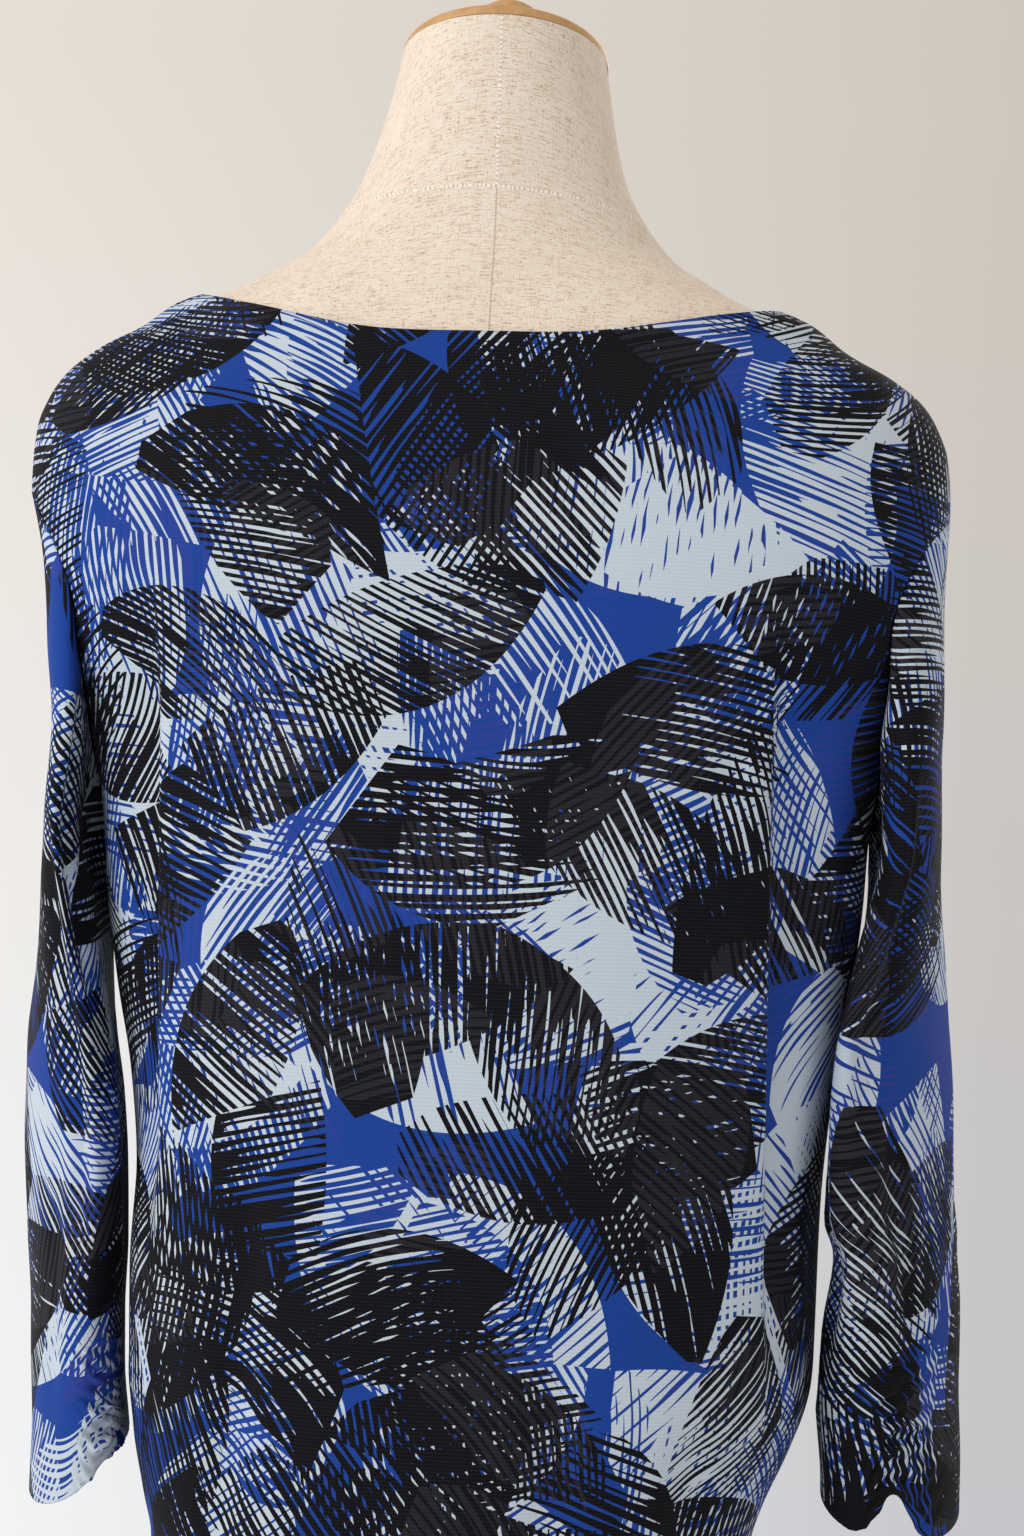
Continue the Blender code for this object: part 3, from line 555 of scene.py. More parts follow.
def brushed_petals():
    """A node group: one printing plate of bent petals laid on with a dry brush, as a mask of 0 or 1.

    Each cell of an uneven net holds a petal at its own angle. Its outline is cut off where the next
    cell begins. The brush's bristles leave lines that run solid at one end and part at the other.
    """
    tree = bpy.data.node_groups.new("brushed_petals", "ShaderNodeTree")
    for name, kind in (("Place", "Vector"), ("Shift", "Vector")):
        tree.interface.new_socket(name, in_out="INPUT", socket_type="NodeSocket" + kind)
    for name in ("Turn", "Cells", "Share", "Length", "Breadth", "Lines", "Ink", "Fade"):
        tree.interface.new_socket(name, in_out="INPUT", socket_type="NodeSocketFloat")
    tree.interface.new_socket("Mask", in_out="OUTPUT", socket_type="NodeSocketFloat")
    given = node(tree, "NodeGroupInput")
    turned_place = node(
        tree, "VectorRotate", {"Vector": given["Place"], "Angle": given["Turn"]}, rotation_type="Z_AXIS"
    )
    place = node(tree, "VectorMath", {0: turned_place, 1: given["Shift"]}, operation="ADD")
    cells = node(
        tree,
        "TexVoronoi",
        {"Vector": place, "Scale": given["Cells"], "Randomness": 0.85},
        voronoi_dimensions="2D",
    )
    local = node(tree, "VectorMath", {0: place, 1: cells["Position"]}, operation="SUBTRACT")
    chance = node(tree, "SeparateColor", {0: cells["Color"]})
    lie = node(tree, "Math", {0: chance[0], 1: 2 * math.pi}, operation="MULTIPLY")
    petal = node(tree, "VectorRotate", {"Vector": local, "Angle": lie}, rotation_type="Z_AXIS")
    petal = node(tree, "SeparateXYZ", {0: petal})

    tightest, slackest = 0.10, 0.60
    radius = node(tree, "MapRange", {0: chance[1], 3: tightest, 4: slackest})
    lifted = node(tree, "Math", {0: petal["Y"], 1: radius}, operation="ADD")
    arm = node(tree, "CombineXYZ", {"X": petal["X"], "Y": lifted})
    reach = node(tree, "VectorMath", {0: arm}, operation="LENGTH")["Value"]
    bent = node(tree, "Math", {0: reach, 1: radius}, operation="SUBTRACT")
    wide = node(tree, "Math", {0: bent}, operation="ABSOLUTE")
    wide = node(tree, "Math", {0: wide, 1: given["Breadth"]}, operation="DIVIDE")
    long = node(tree, "Math", {0: petal["X"], 1: given["Length"]}, operation="DIVIDE")
    outline = node(tree, "Math", {0: long, 1: long, 2: wide}, operation="MULTIPLY_ADD")
    inside = node(tree, "Math", {0: outline, 1: 1.0}, operation="LESS_THAN")

    bristle_run = 0.060
    drawn = node(tree, "CombineXYZ", {"X": petal["X"], "Y": bent})
    slant = node(tree, "Math", {0: chance[2], 1: math.pi}, operation="MULTIPLY")
    stroke = node(tree, "VectorRotate", {"Vector": drawn, "Angle": slant}, rotation_type="Z_AXIS")
    stroke = node(tree, "SeparateXYZ", {0: stroke})
    run = node(tree, "Math", {0: stroke["X"], 1: bristle_run}, operation="DIVIDE")
    line = node(tree, "Math", {0: stroke["Y"], 1: given["Lines"]}, operation="MULTIPLY")
    bristle = node(tree, "CombineXYZ", {"X": run, "Y": line})
    strewn = {0: cells["Position"], 1: (371.0, 593.0, 0.0), 2: bristle}
    bristle = node(tree, "VectorMath", strewn, operation="MULTIPLY_ADD")
    grain = node(
        tree,
        "TexNoise",
        {"Vector": bristle, "Scale": 1.0, "Detail": 1.0, "Roughness": 0.55},
        noise_dimensions="2D",
    )
    turns = node(tree, "Math", {0: line, 1: 2 * math.pi}, operation="MULTIPLY")
    phase = node(tree, "Math", {0: grain, 1: 4.0, 2: turns}, operation="MULTIPLY_ADD")
    ripple = node(tree, "Math", {0: phase}, operation="SINE")
    paint = node(tree, "Math", {0: ripple, 1: 0.26, 2: grain}, operation="MULTIPLY_ADD")
    dryness = {0: stroke["X"], 1: given["Fade"], 2: given["Ink"]}
    dryness = node(tree, "Math", dryness, operation="MULTIPLY_ADD")
    inked = node(tree, "Math", {0: paint, 1: dryness}, operation="GREATER_THAN")

    luck = node(tree, "Math", {0: chance[0], 1: 7.31}, operation="MULTIPLY")
    luck = node(tree, "Math", {0: luck}, operation="FRACT")
    kept = node(tree, "Math", {0: luck, 1: given["Share"]}, operation="LESS_THAN")
    mask = node(tree, "Math", {0: inside, 1: inked}, operation="MULTIPLY")
    mask = node(tree, "Math", {0: mask, 1: kept}, operation="MULTIPLY")
    node(tree, "NodeGroupOutput", {"Mask": mask})
    return tree


BLUE_INK, PALE_INK, BLACK_INK, GHOST_INK = "183f94", "bccad8", "0b0b10", "34333a"
PLATES = (
    # ink, turn in degrees, cell, share of cells, petal length and breadth, line pitch, ink, fade
    (PALE_INK, 20, 0.105, 0.92, 0.090, 0.040, 0.0046, 0.42, 4.2),
    (PALE_INK, 75, 0.120, 0.92, 0.100, 0.044, 0.0050, 0.43, 4.4),
    (BLUE_INK, 140, 0.085, 0.70, 0.072, 0.029, 0.0040, 0.52, 4.0),
    (BLACK_INK, 50, 0.120, 0.76, 0.094, 0.038, 0.0048, 0.41, 4.4),
    (BLACK_INK, 110, 0.100, 0.70, 0.084, 0.033, 0.0038, 0.42, 4.4),
    (BLACK_INK, 165, 0.110, 0.60, 0.088, 0.032, 0.0046, 0.41, 4.6),
)
GHOST_PLATE = (GHOST_INK, 95, 0.080, 0.60, 0.070, 0.030, 0.0044, 0.44, 3.0)


def printed_knit(name, start, haze, gathered=False):
    """Fine mesh knit, matt, with its print. What lies under the sheer cloth shows in it as a faint ghost.

    The real ribs are 1 mm apart, and are drawn 1.9 mm apart so that they show.
    """
    rib = 0.0019
    material, tree = new_material(name)
    place = node(tree, "UVMap", uv_map="cloth")
    if not gathered:
        beyond = node(tree, "Attribute", attribute_name="beyond_tuck")["Fac"]
        tucked = node(tree, "Math", {0: beyond, 1: 0.0}, operation="GREATER_THAN")
        hidden = node(tree, "Attribute", attribute_name="hidden_cloth")["Fac"]
        jump = node(tree, "Math", {0: tucked, 1: hidden}, operation="MULTIPLY")
        jump = node(tree, "CombineXYZ", {"X": jump})
        place = node(tree, "VectorMath", {0: place, 1: jump}, operation="ADD")
    group = bpy.data.node_groups.get("brushed_petals") or brushed_petals()
    colour = linear(BLUE_INK)
    for number, row in enumerate(PLATES + (GHOST_PLATE,)):
        ink, turn, cell, share, length, breadth, pitch, amount, fade = row
        plate = {
            "Place": place,
            "Shift": (start[0] + 0.37 * number, start[1] + 0.61 * number, 0.0),
            "Turn": math.radians(turn),
            "Cells": 1 / cell,
            "Share": share,
            "Length": length,
            "Breadth": breadth,
            "Lines": 1 / pitch,
            "Ink": amount,
            "Fade": fade,
        }
        mask, blend = node(tree, "Group", plate, node_tree=group), "MIX"
        if row is GHOST_PLATE:
            mask, blend = node(tree, "Math", {0: mask, 1: haze}, operation="MULTIPLY"), "LIGHTEN"
        inked = {"Fac": mask, "Color1": colour, "Color2": linear(ink)}
        colour = node(tree, "MixRGB", inked, blend_type=blend)

    parts = node(tree, "SeparateXYZ", {0: place})
    wales, courses = (sine(tree, parts[axis], rib) for axis in "XY")
    holes = node(tree, "Math", {0: wales, 1: courses}, operation="MULTIPLY")
    knit = node(tree, "Math", {0: holes, 1: 0.5, 2: courses}, operation="MULTIPLY_ADD")
    # A grey lattice on the knit's raised points: over the black ink it is a painted sheen on the ribs, over
    # the pale ink it darkens the points into a dot lattice
    rib_sheen_and_dots = node(tree, "MapRange", {0: knit, 1: 0.2, 2: 1.4, 3: 0.0, 4: 0.10})
    colour = node(tree, "MixRGB", {"Fac": rib_sheen_and_dots, "Color1": colour, "Color2": linear("525768")})
    bump = node(tree, "Bump", {"Strength": 0.25, "Distance": 0.0002, "Height": knit})
    shader = node(
        tree,
        "BsdfPrincipled",
        {
            "Base Color": colour,
            "Roughness": 0.78,
            "Specular IOR Level": 0.10,
            "Sheen Weight": 0.02,
            "Sheen Roughness": 0.45,
            "Normal": bump,
        },
    )
    node(tree, "OutputMaterial", {"Surface": shader})
    return material


def within(low, high, value):
    """1 between low and high, fading out over a quarter of that length at each end."""
    fade = 0.25 * (high - low)
    return ease(low, low + fade, value) * (1 - ease(high - fade, high, value))


def oval_side(rows, y, z, side):
    """Distance of a section's surface from the middle, at a depth y behind or before the side seams."""
    depth = smooth(rows, "back" if side < 0 else "front", z)
    power = smooth(rows, "squareness", z)
    return smooth(rows, "half_width", z) * (1 - np.minimum(y / depth, 1) ** power) ** (1 / power)


def armhole(rise, side):
    """Angle and height of the armhole seam, from the underarm (0) up to the shoulder point (1)."""
    z = UNDERARM + (SHOULDER_POINT - UNDERARM) * np.sin(rise * math.pi / 2)
    y = ARMHOLE_HALF_DEPTH * np.sin(rise * math.pi)
    return np.arctan2(y, oval_side(BODY, y, z, side)), z


def quarter_turn(share):
    """Angle from the centre line (share 0) to the side seam (1), with even steps along the cloth."""
    evenness = 0.26
    return math.pi / 2 * (1 - share * (1 + evenness - evenness * share))


def normals_of(grid, closed):
    """Unit normals of a grid of points: outward where rows go down and columns round a tube clockwise."""
    if closed:
        around = np.roll(grid, -1, 1) - np.roll(grid, 1, 1)
    else:
        around = np.gradient(grid, axis=1)
    normal = np.cross(around, np.gradient(grid, axis=0))
    return normal / np.linalg.norm(normal, axis=2, keepdims=True)


def hang(points):
    """Moves points as the blouse really hangs: shoulders off level and the rest swung to one side."""
    x, z = points[..., 0], points[..., 2]
    outwards = np.sign(x) * np.clip(x / LEAN_REACH, -1, 1) ** 2
    lean = SHOULDER_LEAN * outwards * ease(LEAN_FROM, LEAN_FULL, z)
    sway = SWAY * ease(SWAY_FROM, SWAY_FULL, -z)
    return points + np.stack([sway, 0 * x, -lean], -1)


def panel(side, neckline):
    """Section angles and heights of the back's (side -1) or the front's (side 1) points."""
    share = np.abs(np.linspace(-1, 1, BODY_COLUMNS + 1))
    right = np.linspace(-1, 1, BODY_COLUMNS + 1) > 0
    flat_angle = quarter_turn(share)
    along_neck = np.clip(share / NECKLINE_SHARE, 0, 1)
    along_shoulder = np.clip((share - NECKLINE_SHARE) / (1 - NECKLINE_SHARE), 0, 1)
    top_angle = quarter_turn(along_neck)
    top_z = neckline + (NECK_POINT - neckline) * np.cos(top_angle) ** NECKLINE_CURVE
    top_z = top_z + (SHOULDER_POINT - NECK_POINT) * along_shoulder**SHOULDER_CURVE
    rows = []
    for height in np.linspace(HEM, UNDERARM, BODY_ROWS + 1):
        rows.append((flat_angle, np.full(BODY_COLUMNS + 1, height)))
    for rise in np.linspace(0, 1, ARMHOLE_ROWS + 1)[1:]:
        seam_angle, seam_z = armhole(rise, side)
        seam_lift = seam_z - UNDERARM - rise * (SHOULDER_POINT - UNDERARM)
        angle = (1 - rise) * flat_angle + rise * top_angle + share * seam_angle
        rows.append((angle, UNDERARM + rise * (top_z - UNDERARM) + share * seam_lift))
    angle, z = np.array([row[0] for row in rows]), np.array([row[1] for row in rows])
    return np.where(right, angle, math.pi - angle), z


def flat_places(angle, z, side):
    """How far each point lies across from the centre line and up from the hem, along the cloth."""
    turn = np.linspace(np.full_like(angle, math.pi / 2), angle, 24)
    across = np.linalg.norm(np.diff(oval(BODY, turn, z + 0 * turn, side), axis=0), axis=-1).sum(0)
    climb = np.linspace(np.full_like(z, HEM), z, 40)
    up = np.linalg.norm(np.diff(oval(BODY, angle + 0 * climb, climb, side), axis=0), axis=-1).sum(0)
    return np.stack([across * np.sign(math.pi / 2 - angle), up], -1)


def crease_depth(creases, side, x, z):
    """Depth of the soft creases pressed into a face of the cloth."""
    depth = np.zeros_like(x)
    for face, x_high, z_high, x_low, z_low, deep, width in zip(*creases.values()):
        if face != side:
            continue
        run = np.array([x_low - x_high, z_low - z_high])
        length = math.hypot(*run)
        run = run / length
        down = (x - x_high) * run[0] + (z - z_high) * run[1]
        off = (x - x_high) * run[1] - (z - z_high) * run[0]
        depth += deep * np.exp(-((off / width) ** 2)) * within(0, length, down)
    return depth


def tuck_shape(side, x, z):
    """Depth of the tucks, how far points lie beyond a tuck's edge, and how much cloth it hides."""
    depth, beyond, hidden = np.zeros_like(x), np.full_like(x, -1.0), np.zeros_like(x)
    for face, x_high, x_low, low, high, deep, inner, outer, held in zip(*TUCKS.values()):
        if face != side:
            continue
        edge = x_low + (x_high - x_low) * ease(low, high, z)
        past = (x - edge) * np.sign(x_high)
        fold = np.where(past < 0, np.exp(-((past / inner) ** 2)), np.exp(-((past / outer) ** 2)))
        depth += deep * fold * within(low, high, z)
        mine = np.sign(x) == np.sign(x_high)
        beyond = np.where(mine, past + inner, beyond)
        hidden = np.where(mine, held * np.sign(x_high) * within(low, high, z), hidden)
    return depth, beyond, hidden


def clear_of_form(grid, keep_y, margin):
    """Moves points that lie too near the form out to the margin, in x and z alone where keep_y is set."""
    for index in np.ndindex(grid.shape[:2]):
        point = Vector(grid[index])
        nearest, normal, _, _ = form_surface.find_nearest(point)
        short = margin - (point - nearest).dot(normal)
        if short > 0:
            shift = np.array(normal * short)
            shift[1] *= not keep_y[index]
            grid[index] += shift
    return grid


def body_panel(name, node_name, side, neckline, start):
    """One body panel, wrapped over the form's shoulders, with its tucks and creases."""
    angle, z = panel(side, neckline)
    grid = oval(BODY, angle, z, side)
    places = flat_places(angle, z, side)
    outward = normals_of(grid, False) * -side
    depth, beyond, hidden = tuck_shape(side, grid[..., 0], z)
    depth += crease_depth(BODY_CREASES, side, grid[..., 0], z)
    depth *= ease(0, 0.03, np.abs(grid[..., 1]))
    grid = hang(grid - outward * depth[..., None])
    grid[..., 0] -= HEM_SWING * ease(SWING_FROM, SWING_FULL, -grid[..., 2])
    grid[..., 2] += NECK_POINT_HEIGHT
    sewn = np.abs(grid[..., 1]) < 1e-6
    grid = clear_of_form(grid, sewn, CLOTH + FORM_GAP)
    outward = normals_of(grid, False) * -side
    outward[sewn, 1] = 0
    outward /= np.linalg.norm(outward, axis=2, keepdims=True)
    grid[..., 1] += side * SEAM_GAP / 2
    marks = {"beyond_tuck": beyond, "hidden_cloth": hidden}
    item = surface(name, [grid, grid - outward * CLOTH_DRAWN], places, marks=marks)
    return dress(item, printed_knit(name, start, BODY_HAZE), node_name)


back = body_panel("blouse_back", "back", -1, -0.0285, (3.1, 7.7))
front = body_panel("blouse_front", "front", 1, -0.070, (5.2, 2.9))

# The sleeves are long tubes of the same knit, cut straight with a dropped shoulder and one seam from the
# underarm down. The seam is ruched above the cuff: gathering pulls the cuff's edge up there and fans the
# cloth out in small ridges. They hang flat and empty beside the body, so the cloth behind shows through.
SLEEVE_HAZE = 0.60
SLEEVE_GAP = 0.0025
SLEEVE_LEAST_WIDTH = 0.010
SLEEVE_COLUMNS = 144
SLEEVE_ROWS = 110
RUCHE_ROWS = 84

SLEEVES = {
    "right": table(
        "z centre_x half_thickness half_depth twist",
        (-0.660, 0.2265, 0.0320, 0.060, 25),
        (-0.620, 0.2262, 0.0320, 0.061, 25),
        (-0.570, 0.2232, 0.0328, 0.063, 25),
        (-0.535, 0.2248, 0.0306, 0.065, 24),
        (-0.500, 0.2258, 0.0254, 0.067, 24),
        (-0.475, 0.2208, 0.0270, 0.0685, 26),
        (-0.440, 0.2200, 0.0262, 0.070, 26),
        (-0.390, 0.2200, 0.0229, 0.075, 23),
        (-0.340, 0.2245, 0.0195, 0.077, 14),
        (-0.290, 0.2262, 0.0180, 0.079, 5),
        (-0.230, 0.2235, 0.0192, 0.080, 2),
        (-0.200, 0.2242, 0.0175, 0.080, 0),
        (-0.160, 0.2255, 0.0155, 0.079, 0),
        (-0.100, 0.2310, 0.0135, 0.077, 0),
    ),
    "left": table(
        "z centre_x half_thickness half_depth twist",
        (-0.660, 0.2140, 0.0275, 0.059, 20),
        (-0.620, 0.2145, 0.0262, 0.060, 20),
        (-0.580, 0.2172, 0.0250, 0.062, 20),
        (-0.550, 0.2180, 0.0250, 0.064, 20),
        (-0.510, 0.2192, 0.0263, 0.066, 22),
        (-0.465, 0.2214, 0.0262, 0.0685, 24),
        (-0.430, 0.2228, 0.0250, 0.0705, 23),
        (-0.395, 0.2250, 0.0230, 0.0722, 20),
        (-0.365, 0.2250, 0.0205, 0.074, 15),
        (-0.320, 0.2245, 0.0170, 0.077, 8),
        (-0.285, 0.2226, 0.0138, 0.079, 4),
        (-0.230, 0.2175, 0.0145, 0.080, 2),
        (-0.190, 0.2185, 0.0160, 0.080, 0),
        (-0.150, 0.2215, 0.0150, 0.079, 0),
        (-0.100, 0.2315, 0.0140, 0.077, 0),
    ),
}

# The edge hangs on a slant, lowest at one angle round the sleeve. The lower stretch of the seam is ruched,
# which pulls the edge up there.
CUFFS = {
    "right": {
        "edge": -0.634,
        "slant": 0.013,
        "lowest_angle": 5,
        "seam_angle": 52,
        "pull_up": 0.026,
        "pull_width": 18,
        "ruche_top": -0.540,
        "gathers": 9,
        "fan": 0.020,
    },
    "left": {
        "edge": -0.632,
        "slant": 0.020,
        "lowest_angle": 0,
        "seam_angle": 105,
        "pull_up": 0.004,
        "pull_width": 30,
        "ruche_top": -0.550,
        "gathers": 10,
        "fan": 0.016,
    },
}
RUCHE_DEPTH = 0.0024
RUCHE_SPREAD = 30
RUCHE_FULLNESS = 0.5

# Long creases in the sleeves, by the angle round the tube in degrees from its outer side over the back
SLEEVE_CREASES = {
    "right": table(
        "angle low high depth width",
        (62, -0.470, -0.230, 0.0050, 12),
        (118, -0.570, -0.330, 0.0050, 12),
        (38, -0.560, -0.400, 0.0030, 9),
        (90, -0.330, -0.150, 0.0022, 9),
        (255, -0.560, -0.250, 0.0050, 15),
        (300, -0.500, -0.330, 0.0030, 11),
    ),
    "left": table(
        "angle low high depth width",
        (70, -0.540, -0.260, 0.0050, 14),
        (112, -0.420, -0.200, 0.0026, 9),
        (44, -0.610, -0.420, 0.0028, 10),
        (285, -0.560, -0.240, 0.0050, 15),
        (240, -0.520, -0.320, 0.0040, 12),
    ),
}


def sleeve_section(rows, angle, z):
    """Points of a sleeve's tube beside the wearer's right side."""
    thick, depth = smooth(rows, "half_thickness", z), smooth(rows, "half_depth", z)
    twist = np.radians(smooth(rows, "twist", z))
    across, forth = thick * np.cos(angle), -depth * np.sin(angle)
    x = smooth(rows, "centre_x", z) + across * np.cos(twist) + forth * np.sin(twist)
    return np.stack([x, forth * np.cos(twist) - across * np.sin(twist), z], -1)


def sleeve_seam(turn):
    """The armhole seam round a sleeve, and the body's outward normals there."""
    rise = np.abs(1 - turn / math.pi)
    points, normals = [], []
    for side in (-1, 1):
        angle, z = armhole(rise, side)
        step = 0.001
        point = oval(BODY, angle, z, side)
        up = oval(BODY, angle, z + step, side) - point
        round_body = oval(BODY, angle + step, z, side) - point
        normal = np.cross(up, round_body) * -side
        points.append(point)
        normals.append(normal / np.linalg.norm(normal, axis=1, keepdims=True))
    at_back = (turn <= math.pi)[:, None]
    return np.where(at_back, *points), np.where(at_back, *normals), rise


def beside_body(grid, turn, top):
    """Holds a sleeve just off the body, its outer side further, except over the open armhole."""
    x, y, z = grid[..., 0], np.abs(grid[..., 1]), grid[..., 2]
    full_margin = SLEEVE_GAP + SLEEVE_LEAST_WIDTH * (1 + np.cos(turn)) / 2
    margin = SEAM_GAP + (full_margin - SEAM_GAP) * ease(0, 0.03, top - z)
    rise = np.clip((z - UNDERARM) / (SHOULDER_POINT - UNDERARM), 0, 1)
    opening = ARMHOLE_HALF_DEPTH * np.sin(2 * np.arcsin(rise))
    limits = [oval_side(BODY, y, z, side) + margin for side in (-1, 1)]
    limit = np.where(grid[..., 1] < 0, *limits)
    grid[..., 0] = np.where(y >= opening, np.maximum(x, limit), x)
    return grid


def sleeve_tube(hand):
    """Outer points, normals and flat places of a sleeve at the right side, from the armhole to the cuff."""
    rows, cuff = SLEEVES[hand], CUFFS[hand]
    turn = np.roll(np.linspace(0, 2 * math.pi, SLEEVE_COLUMNS, endpoint=False), SLEEVE_COLUMNS // 2)
    seam, body_normal, rise = sleeve_seam(turn)
    along_seam = np.roll(seam, -1, 0) - np.roll(seam, 1, 0)
    off_body = np.cross(body_normal, along_seam)
    off_body /= np.linalg.norm(off_body, axis=1, keepdims=True)
    lean = (math.pi / 2 * (1 - rise))[:, None]
    seam = seam + SEAM_GAP * (off_body * np.cos(lean) + body_normal * np.sin(lean))
    off_seam = np.degrees(turn) - cuff["seam_angle"]
    off_lowest = turn - math.radians(cuff["lowest_angle"])
    edge = cuff["edge"] - cuff["slant"] * np.cos(off_lowest)
    edge = edge + cuff["pull_up"] * np.exp(-((off_seam / cuff["pull_width"]) ** 2))
    top = seam[:, 2]
    ruche_top = cuff["ruche_top"]
    heights = [top + (ruche_top - top) * t for t in np.linspace(0, 1, SLEEVE_ROWS + 1)]
    heights += [ruche_top + (edge - ruche_top) * t for t in np.linspace(0, 1, RUCHE_ROWS + 1)[1:]]
    z = np.array(heights)
    grid = sleeve_section(rows, turn + 0 * z, z)
    stretch = (seam - grid[0])[None]
    grid = grid + stretch * (1 - ease(0.0, 0.14, top - z))[..., None]
    wrapped = np.concatenate([grid, grid[:, :1]], 1)
    around, down = along(wrapped[..., :2], 1), along(wrapped, 0)
    near = np.concatenate([off_seam, off_seam[:1]])
    in_ruche = ease(0, 0.03, ruche_top - np.concatenate([z, z[:, :1]], 1))
    puckered = RUCHE_FULLNESS * np.exp(-((near / RUCHE_SPREAD) ** 2)) * in_ruche
    down = np.cumsum(np.diff(down, axis=0, prepend=down[:1]) * (1 + puckered), 0)
    outer_side = around[:, SLEEVE_COLUMNS // 2, None]
    places = np.stack([around - outer_side, down[SLEEVE_ROWS] - down], -1)

    depth = np.zeros_like(z)
    for angle, low, high, deep, width in zip(*SLEEVE_CREASES[hand].values()):
        off = np.degrees(turn) - angle
        depth += deep * np.exp(-((off / width) ** 2)) * within(low, high, z)
    # Two sets of gathers cross and drift, so that no two puckers are alike
    down_ruche = (ruche_top - z) / (ruche_top - edge)
    off = off_seam / RUCHE_SPREAD
    fan = cuff["fan"] * off**2 / (ruche_top - edge)
    pucker = cuff["gathers"] * (down_ruche + fan) + 0.35 * np.sin(1.9 * off + 5.0 * down_ruche)
    crumple = 0.6 * cuff["gathers"] * down_ruche - 0.9 * off + 0.30 * np.sin(3.1 * off - 7.0 * down_ruche)
    wave = 0.55 * np.sin(2 * math.pi * pucker) + 0.60 * np.sin(2 * math.pi * crumple)
    near_seam = np.exp(-((off_seam / RUCHE_SPREAD) ** 2)) * ease(0.0, 0.15, down_ruche)
    grid = grid + normals_of(grid, True) * (RUCHE_DEPTH * wave * near_seam - depth)[..., None]
    grid[1:] = beside_body(grid, turn, top)[1:]
    outward = normals_of(grid, True)
    with_body = ease(0.35, 0.65, rise)[:, None]
    outward[0] = outward[0] * (1 - with_body) + body_normal * with_body
    return grid, outward / np.linalg.norm(outward, axis=2, keepdims=True), places


def sleeve(name, node_name, hand, start):
    """One sleeve, an open tube from the armhole to the cuff."""
    outer, outward, places = sleeve_tube(hand)
    grids = []
    for grid in (outer, outer - outward * CLOTH_DRAWN):
        if hand == "left":
            grid = grid * (-1, 1, 1)
        grids.append(hang(grid) + (0, 0, NECK_POINT_HEIGHT))
    item = surface(name, grids, places, closed=True)
    return dress(item, printed_knit(name, start, SLEEVE_HAZE, gathered=True), node_name)


right_sleeve = sleeve("blouse_sleeve_right", "sleeve_right", "right", (1.7, 4.3))
left_sleeve = sleeve("blouse_sleeve_left", "sleeve_left", "left", (8.3, 5.9))

# The studio: a pale paper disc on the floor that fades out at its edge, daylight from a large window at
# the left, and a pale wall all round, brightest low down on the window's side. The camera stands a little
# right of the centre back, level with the waist.
FLOOR_RADIUS = 0.80
FLOOR_SOLID_RADIUS = 0.30
floor_mesh = bpy.data.meshes.new("studio_floor")
maker = bmesh.new()
bmesh.ops.create_circle(maker, cap_ends=True, segments=96, radius=FLOOR_RADIUS)
maker.to_mesh(floor_mesh)
maker.free()
floor = add_object("studio_floor", floor_mesh)
paper, tree = new_material("pale_paper")
reach = node(tree, "VectorMath", {0: node(tree, "TexCoord")["Object"]}, operation="LENGTH")["Value"]
gone = node(
    tree,
    "MapRange",
    {0: reach, 1: FLOOR_SOLID_RADIUS, 2: 0.95 * FLOOR_RADIUS},
    interpolation_type="SMOOTHERSTEP",
)
sheet_tone = node(tree, "BsdfPrincipled", {"Base Color": linear("d4d8df"), "Roughness": 0.95})
clear = node(tree, "BsdfTransparent")
fading = node(tree, "MixShader", {0: gone, 1: sheet_tone, 2: clear})
node(tree, "OutputMaterial", {"Surface": fading})
floor.data.materials.append(paper)

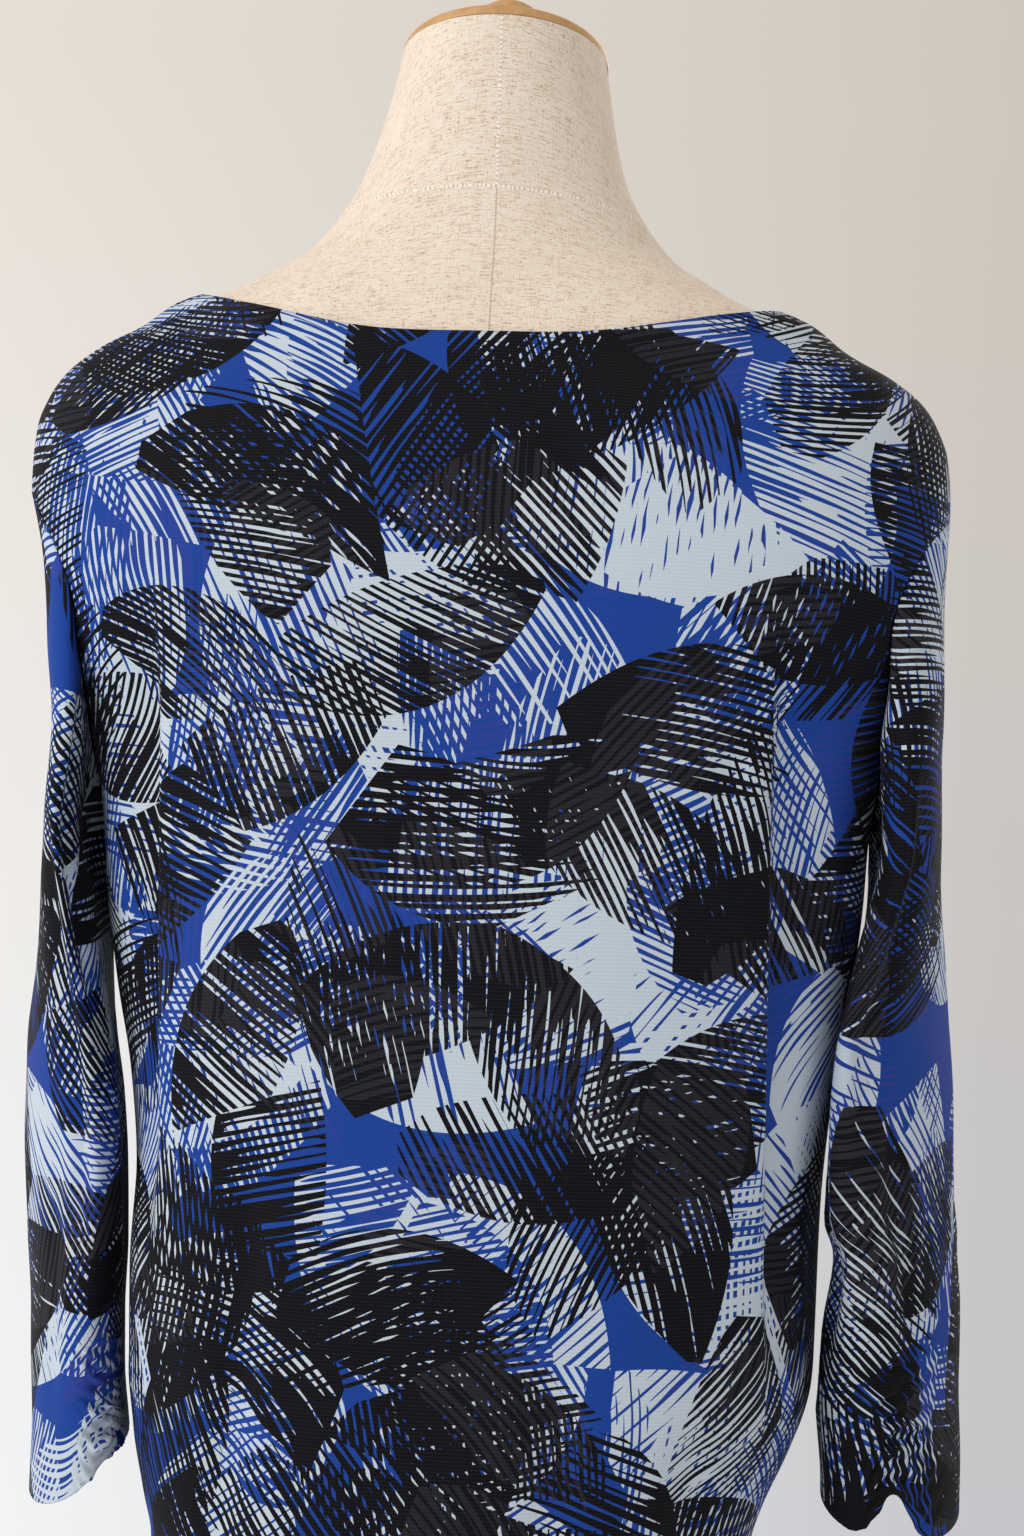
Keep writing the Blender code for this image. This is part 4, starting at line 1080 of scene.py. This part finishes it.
room = bpy.data.worlds.new("pale_room")
room.use_nodes = True
tree = room.node_tree
tree.nodes.clear()
heading = node(tree, "SeparateXYZ", {0: node(tree, "TexCoord")["Generated"]})
sideways = node(tree, "MapRange", {0: heading["X"], 1: -0.30, 2: 0.12})
upward = node(tree, "MapRange", {0: heading["Z"], 1: -0.30, 2: 0.28})
wall_tones = []
for by_window, far_side in (("f6f7f9", "c4c5c8"), ("e8e0d6", "d0c7bc")):
    tones = {"Fac": sideways, "Color1": linear(by_window), "Color2": linear(far_side)}
    wall_tones.append(node(tree, "MixRGB", tones))
wall_tone = node(tree, "MixRGB", {"Fac": upward, "Color1": wall_tones[0], "Color2": wall_tones[1]})
glow = node(tree, "Background", {"Color": wall_tone, "Strength": 1.0})
node(tree, "OutputWorld", {"Surface": glow})
bpy.context.scene.world = room
bpy.context.scene.view_settings.view_transform = "Standard"


def window_light(name, place, aim, width, height, power, colour):
    """A soft area light that faces its aim."""
    lamp = bpy.data.lights.new(name, "AREA")
    lamp.shape, lamp.size, lamp.size_y = "RECTANGLE", width, height
    lamp.energy, lamp.color = power, linear(colour)[:3]
    item = add_object(name, lamp)
    item.location = place
    item.rotation_euler = (Vector(aim) - Vector(place)).to_track_quat("-Z", "Y").to_euler()
    return item


window_light("window_left", (-2.4, -1.9, 1.7), (0, 0, 0.6), 1.8, 2.0, 56, "fffaf4")
window_light("room_right", (2.6, -1.6, 1.3), (0, 0, 0.6), 1.6, 1.6, 10, "fff9f0")
window_light("room_front", (1.2, 2.4, 1.8), (0, 0, 0.6), 2.0, 2.0, 22, "fffaf2")

CAMERA_DISTANCE = 1.30
CAMERA_HEIGHT = 0.65
CAMERA_AZIMUTH = math.radians(5.5)
CAMERA_ASIDE = 0.0173
CAMERA_ROLL = math.radians(1.5)
CAMERA_LENS = 56.25
camera = add_object("camera", bpy.data.cameras.new("camera"))
camera.data.lens = CAMERA_LENS
east, north = math.sin(CAMERA_AZIMUTH), math.cos(CAMERA_AZIMUTH)
camera.location = (CAMERA_DISTANCE * east, -CAMERA_DISTANCE * north, CAMERA_HEIGHT)
target = Vector((CAMERA_ASIDE * north, CAMERA_ASIDE * east, CAMERA_HEIGHT))
facing = (target - camera.location).to_track_quat("-Z", "Y").to_matrix()
camera.rotation_euler = (facing @ Matrix.Rotation(CAMERA_ROLL, 3, "Z")).to_euler()
bpy.context.scene.camera = camera
